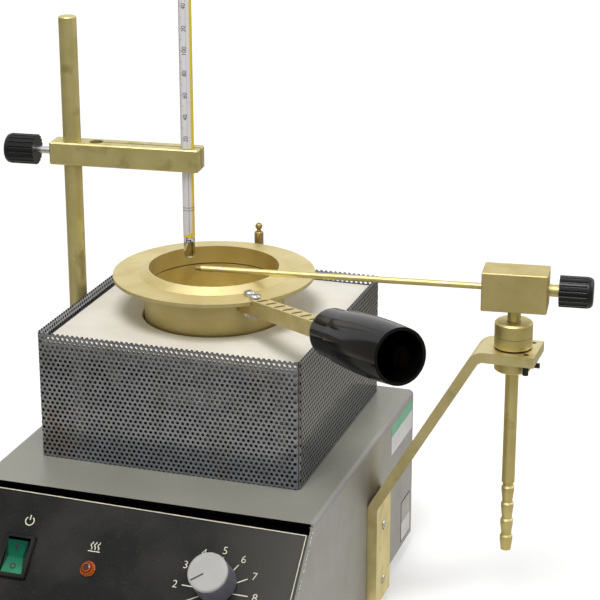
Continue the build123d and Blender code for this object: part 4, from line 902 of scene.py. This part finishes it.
side = FASCIA_HALF - BORDER_IN
top = -BORDER_DOWN
low = -FASCIA_LENGTH + BORDER_UP
reach = BORDER_WIDTH / 2
border = [
    bar((-side - reach, top), (side + reach, top), BORDER_WIDTH),
    bar((side, top - reach), (side, low + reach), BORDER_WIDTH),
    bar((side + reach, low), (-side - reach, low), BORDER_WIDTH),
    bar((-side, low + reach), (-side, top - reach), BORDER_WIDTH),
]
askew = panel @ Matrix.Rotation(radians(FILM_TURN), 4, "Z")
prints("fascia_border", border, askew, PRINT_CREAM, "housing")


def dial_angle(number):
    """Angle of a dial number from +X, counter-clockwise, in degrees."""
    return 90.0 - DIAL_TURN - (number - (DIAL_COUNT - 1) / 2) * DIAL_STEP


ticks = []
numbers = []
for number in range(DIAL_COUNT):
    way = Vector((cos(radians(dial_angle(number))), sin(radians(dial_angle(number)))))
    ticks.append(bar(way * DIAL_TICK_START, way * DIAL_TICK_END, DIAL_TICK_WIDTH))
    spot = way * DIAL_NUMBER_RADIUS
    place = on_panel(DIAL) @ Matrix.Translation((spot.x, spot.y, 0))
    some_points, some_faces = word_mesh(str(number), DIAL_NUMBER_SIZE, thin=DIAL_NUMBER_THIN)
    numbers.append(([place @ p for p in some_points], some_faces))
prints("dial_ticks", ticks, on_panel(DIAL), PRINT_CREAM, "housing")
joined_piece("dial_numbers", numbers, PRINT_CREAM, "housing")

power_sign = [
    stroke(arc_points(POWER_RADIUS, *POWER_ARC, 30), SIGN_STROKE),
    bar((0, POWER_BAR[0]), (0, POWER_BAR[1]), SIGN_STROKE),
]
prints("power_sign", power_sign, on_panel(POWER_SIGN), PRINT_CREAM, "housing")
wave = []
for i in range(WAVE_STEPS + 1):
    wave.append((WAVE_SWAY * sin(i * pi / 5), WAVE_HEIGHT * (i / WAVE_STEPS - 0.5)))
heater_sign = [stroke([(x + shift, y) for x, y in wave], WAVE_STROKE) for shift in WAVE_PLACES]
half, level = WAVE_BASE
heater_sign.append(bar((-half, level), (half, level), WAVE_STROKE))
prints("heater_sign", heater_sign, on_panel(HEATER_SIGN), PRINT_CREAM, "housing")

# Pointer line on the knob's cap.
cap_face = on_panel(KNOB) @ Matrix.Translation((0, 0, KNOB_TOP))
way = Vector((sin(radians(POINTER_ANGLE)), cos(radians(POINTER_ANGLE))))
pointer = bar(way * POINTER_START, way * POINTER_END, POINTER_WIDTH)
prints("knob_pointer", [pointer], cap_face, POINTER_GREY, "heat_control", MARK_DEPTH)

# Marks on the rocker's two faces, a stroke above and a ring below.
ridge = (
    on_panel(SWITCH)
    @ Matrix.Translation((0, 0, ROCKER_AXIS))
    @ Matrix.Rotation(radians(ROCKER_TILT), 4, "X")
    @ Matrix.Translation((0, 0, ROCKER_MIDDLE))
)
for name, face_way, outline in (
    ("rocker_on_mark", 1, bar((0, -ON_MARK[0]), (0, ON_MARK[0]), ON_MARK[1])),
    ("rocker_off_mark", -1, stroke(arc_points(OFF_MARK[0], 0, 360, 28), OFF_MARK[1])),
):
    facet = Matrix.Rotation(radians(ROCKER_TILT * face_way), 4, "X")
    place = ridge @ facet @ Matrix.Translation((0, face_way * MARK_PLACE, 0))
    prints(name, [outline], place, PRINT_BLACK, "switch", MARK_DEPTH)

# ------------ labels, left blank
side_wall = plane_at((HALF_WIDTH, 0, 0), (0, 1, 0), (1, 0, 0))


def label(name, front, back, low, high, material, depth):
    """A plain sticker on the housing's right side."""
    outline = [(front, low), (back, low), (back, high), (front, high)]
    prints(name, [outline], side_wall, material, "housing", depth)


label("side_label", LABEL_FRONT, LABEL_BACK, LABEL_BOTTOM, LABEL_SPLIT, LABEL_PALE, LABEL_DEPTH)
label("side_label_band", LABEL_FRONT, LABEL_BACK, LABEL_SPLIT, LABEL_TOP, LABEL_GREEN, LABEL_DEPTH)
label("rating_plate_rim", PLATE_FRONT - PLATE_RIM, PLATE_BACK + PLATE_RIM,
      PLATE_BOTTOM - PLATE_RIM, PLATE_TOP + PLATE_RIM, PRINT_BLACK, PLATE_RIM_DEPTH)
label("rating_plate", PLATE_FRONT, PLATE_BACK, PLATE_SPLIT, PLATE_TOP, LABEL_GREY, PLATE_DEPTH)
label("rating_plate_field", PLATE_FRONT, PLATE_BACK, PLATE_BOTTOM, PLATE_SPLIT, LABEL_PALE, PLATE_DEPTH)

# ------------ thermometer scale
def on_stem(across, along, lift, azimuth, radius, level):
    """A point of the stem's skin: across to the seen right, along upward, lifted outward."""
    angle = radians(azimuth) + across / radius
    reach = radius + lift
    return (STEM_AXIS[0] + reach * cos(angle), STEM_AXIS[1] + reach * sin(angle), level + along)


def wrapped(first, last, low, high, radius, steps=4):
    """A patch of ink on the stem, between two azimuths and two levels."""
    points, faces = [], []
    for i in range(steps + 1):
        azimuth = first + (last - first) * i / steps
        for lift in (0.0, STEM_INK):
            for level in (low, high):
                points.append(on_stem(0.0, 0.0, lift, azimuth, radius, level))
    for i in range(steps):
        a, b = 4 * i, 4 * i + 4
        faces += [(a, a + 1, b + 1, b), (a + 2, b + 2, b + 3, a + 3)]
        faces += [(a, b, b + 2, a + 2), (a + 1, a + 3, b + 3, b + 1)]
    faces += [(0, 2, 3, 1), (4 * steps, 4 * steps + 1, 4 * steps + 3, 4 * steps + 2)]
    return points, faces


def stem_piece(name, parts, material):
    """A piece of ink or of thread that moves with the thermometer."""
    joined_piece(name, parts, material, "thermometer")


marks = []
for step in range(SCALE_TOP // 2 + 1):
    level = ZERO_MARK + 2 * step * DEGREE
    last = LONG_TICK if step % 5 == 0 else SHORT_TICK
    marks.append(wrapped(TICK_AZIMUTH, last, level - STEM_TICK_HALF, level + STEM_TICK_HALF, STEM_RADIUS))
stem_piece("stem_ticks", marks, INK_GREY)

# Every hundred is written in full, and the numbers between show their last two digits only.
numbers = []
for value in range(0, SCALE_TOP + 1, 20):
    level = ZERO_MARK + value * DEGREE
    some_points, some_faces = word_mesh(str(value % 100 or value), STEM_NUMBER_SIZE, STEM_INK)
    some_points, some_faces = sliced(some_points, some_faces, STEM_NUMBER_SLICE)
    bent = [on_stem(-p.y, p.x, p.z, SCALE_FACING, STEM_RADIUS, level) for p in some_points]
    numbers.append((bent, some_faces))
stem_piece("stem_numbers", numbers, INK_GREY)

rings = []
for level in IMMERSION_LINES:
    rings.append(wrapped(-180, 180, level - RING_HALF, level + RING_HALF, IMMERSED_RADIUS, RING_STEPS))
stem_piece("stem_rings", rings, INK_GREY)

for name, width, low, high, radius, material in (
    ("neck_thread", NECK_THREAD, NECK_TOP + 1.0, STEM_STEP - THREAD_GAP, IMMERSED_RADIUS, THREAD_GREY),
    ("stem_thread", STEM_THREAD, STEM_STEP + THREAD_GAP, THREAD_TOP, STEM_RADIUS, THREAD_PALE),
):
    thread = wrapped(THREAD_AZIMUTH - width / 2, THREAD_AZIMUTH + width / 2, low, high, radius, 1)
    stem_piece(name, [thread], material)

# ------------ camera
# Fitted to the photograph. Angles are in degrees.
CAMERA_SPOT = (0.32217, -0.84505, 0.46931)
CAMERA_YAW = 18.555
CAMERA_PITCH = 19.125
CAMERA_ROLL = -0.17
FOCAL_PIXELS = 1954.17
CENTRE_PIXEL = (289.09, 296.95)
IMAGE_SIDE = 600
SENSOR = 36.0

yaw, pitch, roll = (radians(value) for value in (CAMERA_YAW, CAMERA_PITCH, CAMERA_ROLL))
forward = Vector((-sin(yaw) * cos(pitch), cos(yaw) * cos(pitch), -sin(pitch)))
level_right = Vector((cos(yaw), sin(yaw), 0))
level_up = level_right.cross(forward)
right = cos(roll) * level_right + sin(roll) * level_up
up = cos(roll) * level_up - sin(roll) * level_right
camera_data = bpy.data.cameras.new("camera")
camera_data.sensor_width = SENSOR
camera_data.lens = FOCAL_PIXELS * SENSOR / IMAGE_SIDE
camera_data.shift_x = (IMAGE_SIDE / 2 - CENTRE_PIXEL[0]) / IMAGE_SIDE
camera_data.shift_y = (CENTRE_PIXEL[1] - IMAGE_SIDE / 2) / IMAGE_SIDE
camera_data.clip_start = 0.02
camera_data.clip_end = 30
camera = bpy.data.objects.new("camera", camera_data)
scene.collection.objects.link(camera)
camera.matrix_world = Matrix.Translation(CAMERA_SPOT) @ Matrix((right, up, -forward)).transposed().to_4x4()
scene.camera = camera

# ------------ light and floor
def lamp(name, spot, size, power, aim=(0, 0, 0.12)):
    """A square soft box that faces a point."""
    data = bpy.data.lights.new(name, "AREA")
    data.shape = "SQUARE"
    data.size = size
    data.energy = power
    holder = bpy.data.objects.new(name, data)
    scene.collection.objects.link(holder)
    holder.location = spot
    holder.rotation_euler = (Vector(aim) - Vector(spot)).to_track_quat("-Z", "Y").to_euler()


def seen_rays(tree):
    """1 for rays from the camera, off gloss and through clear parts, and 0 for all others."""
    rays = add_node(tree, "LightPath").outputs
    sockets = {0: rays["Is Camera Ray"], 1: rays["Is Glossy Ray"]}
    seen = add_node(tree, "Math", sockets, operation="MAXIMUM").outputs[0]
    sockets = {0: seen, 1: rays["Is Transmission Ray"]}
    return add_node(tree, "Math", sockets, operation="MAXIMUM").outputs[0]


def by_distance(tree, near, far, near_value, far_value):
    """A value that changes with the distance from the origin, between two distances."""
    place = add_node(tree, "TexCoord").outputs["Object"]
    away = add_node(tree, "VectorMath", {0: place}, operation="LENGTH").outputs["Value"]
    sockets = {"Value": away, "From Min": near, "From Max": far, "To Min": near_value, "To Max": far_value}
    return add_node(tree, "MapRange", sockets).outputs["Result"]


def square(half, level):
    """Corners of a level square about the origin."""
    return [(x * half, y * half, level) for x, y in ((-1, -1), (1, -1), (1, 1), (-1, 1))]


def surface(name, corners, faces, material):
    """Put a mesh given in metres in the scene."""
    mesh = bpy.data.meshes.new(name)
    mesh.from_pydata(corners, [], faces)
    mesh.materials.append(material)
    holder = bpy.data.objects.new(name, mesh)
    scene.collection.objects.link(holder)
    return holder


lamp("key", (0.07, -0.62, 1.35), 0.5, 12.0)
lamp("back_fill", (1.1, 0.5, 0.8), 0.5, 3.0)

# The surroundings light the object softly, but are white where they are seen.
WHITE = (1, 1, 1, 1)
SOFT_LIGHT = 0.48
world = bpy.data.worlds.new("studio")
scene.world = world
world.use_nodes = True
tree = world.node_tree
tree.nodes.clear()
soft = add_node(tree, "Background", {"Color": WHITE, "Strength": SOFT_LIGHT})
white = add_node(tree, "Background", {"Color": WHITE, "Strength": 1.0})
mixed = add_node(tree, "MixShader", {0: seen_rays(tree), 1: soft.outputs[0], 2: white.outputs[0]})
add_node(tree, "OutputWorld", {0: mixed.outputs[0]})

# The floor glows only where it is seen, less near the object, so its shadows stay.
FLOOR_HALF = 4.0
FLOOR_GLOW = (0.4, 1.6, 0.36, 0.7)  # two distances, and the strength of the glow at each
floor_finish = bpy.data.materials.new("floor_white")
floor_finish.use_nodes = True
tree = floor_finish.node_tree
shader = tree.nodes["Principled BSDF"]
shader.inputs["Base Color"].default_value = srgb(232, 232, 232)
shader.inputs["Roughness"].default_value = 0.9
shader.inputs["Specular IOR Level"].default_value = 0.1
glow = add_node(tree, "Emission", {"Strength": by_distance(tree, *FLOOR_GLOW)})
added = add_node(tree, "AddShader", {0: shader.outputs[0], 1: glow.outputs[0]})
chosen = add_node(tree, "MixShader", {0: seen_rays(tree), 1: shader.outputs[0], 2: added.outputs[0]})
tree.links.new(chosen.outputs[0], tree.nodes["Material Output"].inputs["Surface"])
floor = surface("floor", square(FLOOR_HALF, 0.0), [(0, 1, 2, 3)], floor_finish)

# A dim table and a dim wall round the front and the sides, seen only in gloss and metal, as a
# dim room would be. The table is brightest near the object.
CARD_COLOUR = (1.0, 0.96, 0.8, 1.0)
CARD_GLOW = (0.2, 0.5, 0.8, 0.34)  # two distances, and the strength of the glow at each
CARD_REACH = 4.0
CARD_LEVEL = 0.001
WALL_AWAY = 2.2
WALL_HEIGHT = 1.1
WALL_ENDS = (-195.0, 15.0)  # azimuths in degrees
WALL_STEPS = 30
card_finish = bpy.data.materials.new("dim_room")
card_finish.use_nodes = True
tree = card_finish.node_tree
tree.nodes.clear()
dim = add_node(tree, "Emission", {"Color": CARD_COLOUR, "Strength": by_distance(tree, *CARD_GLOW)})
add_node(tree, "OutputMaterial", {"Surface": dim.outputs[0]})
table = square(CARD_REACH, CARD_LEVEL)
foot = arc_points(WALL_AWAY, *WALL_ENDS, WALL_STEPS)
wall = [(x, y, z) for x, y in foot for z in (0.0, WALL_HEIGHT)]
wall_faces = [(2 * i, 2 * i + 2, 2 * i + 3, 2 * i + 1) for i in range(WALL_STEPS)]
for name, corners, card_faces in (("table_card", table, [(0, 1, 2, 3)]), ("wall_card", wall, wall_faces)):
    card = surface(name, corners, card_faces, card_finish)
    card.visible_camera = False
    card.visible_diffuse = False
    card.visible_shadow = False
    card.visible_transmission = False

scene.view_settings.view_transform = "Standard"
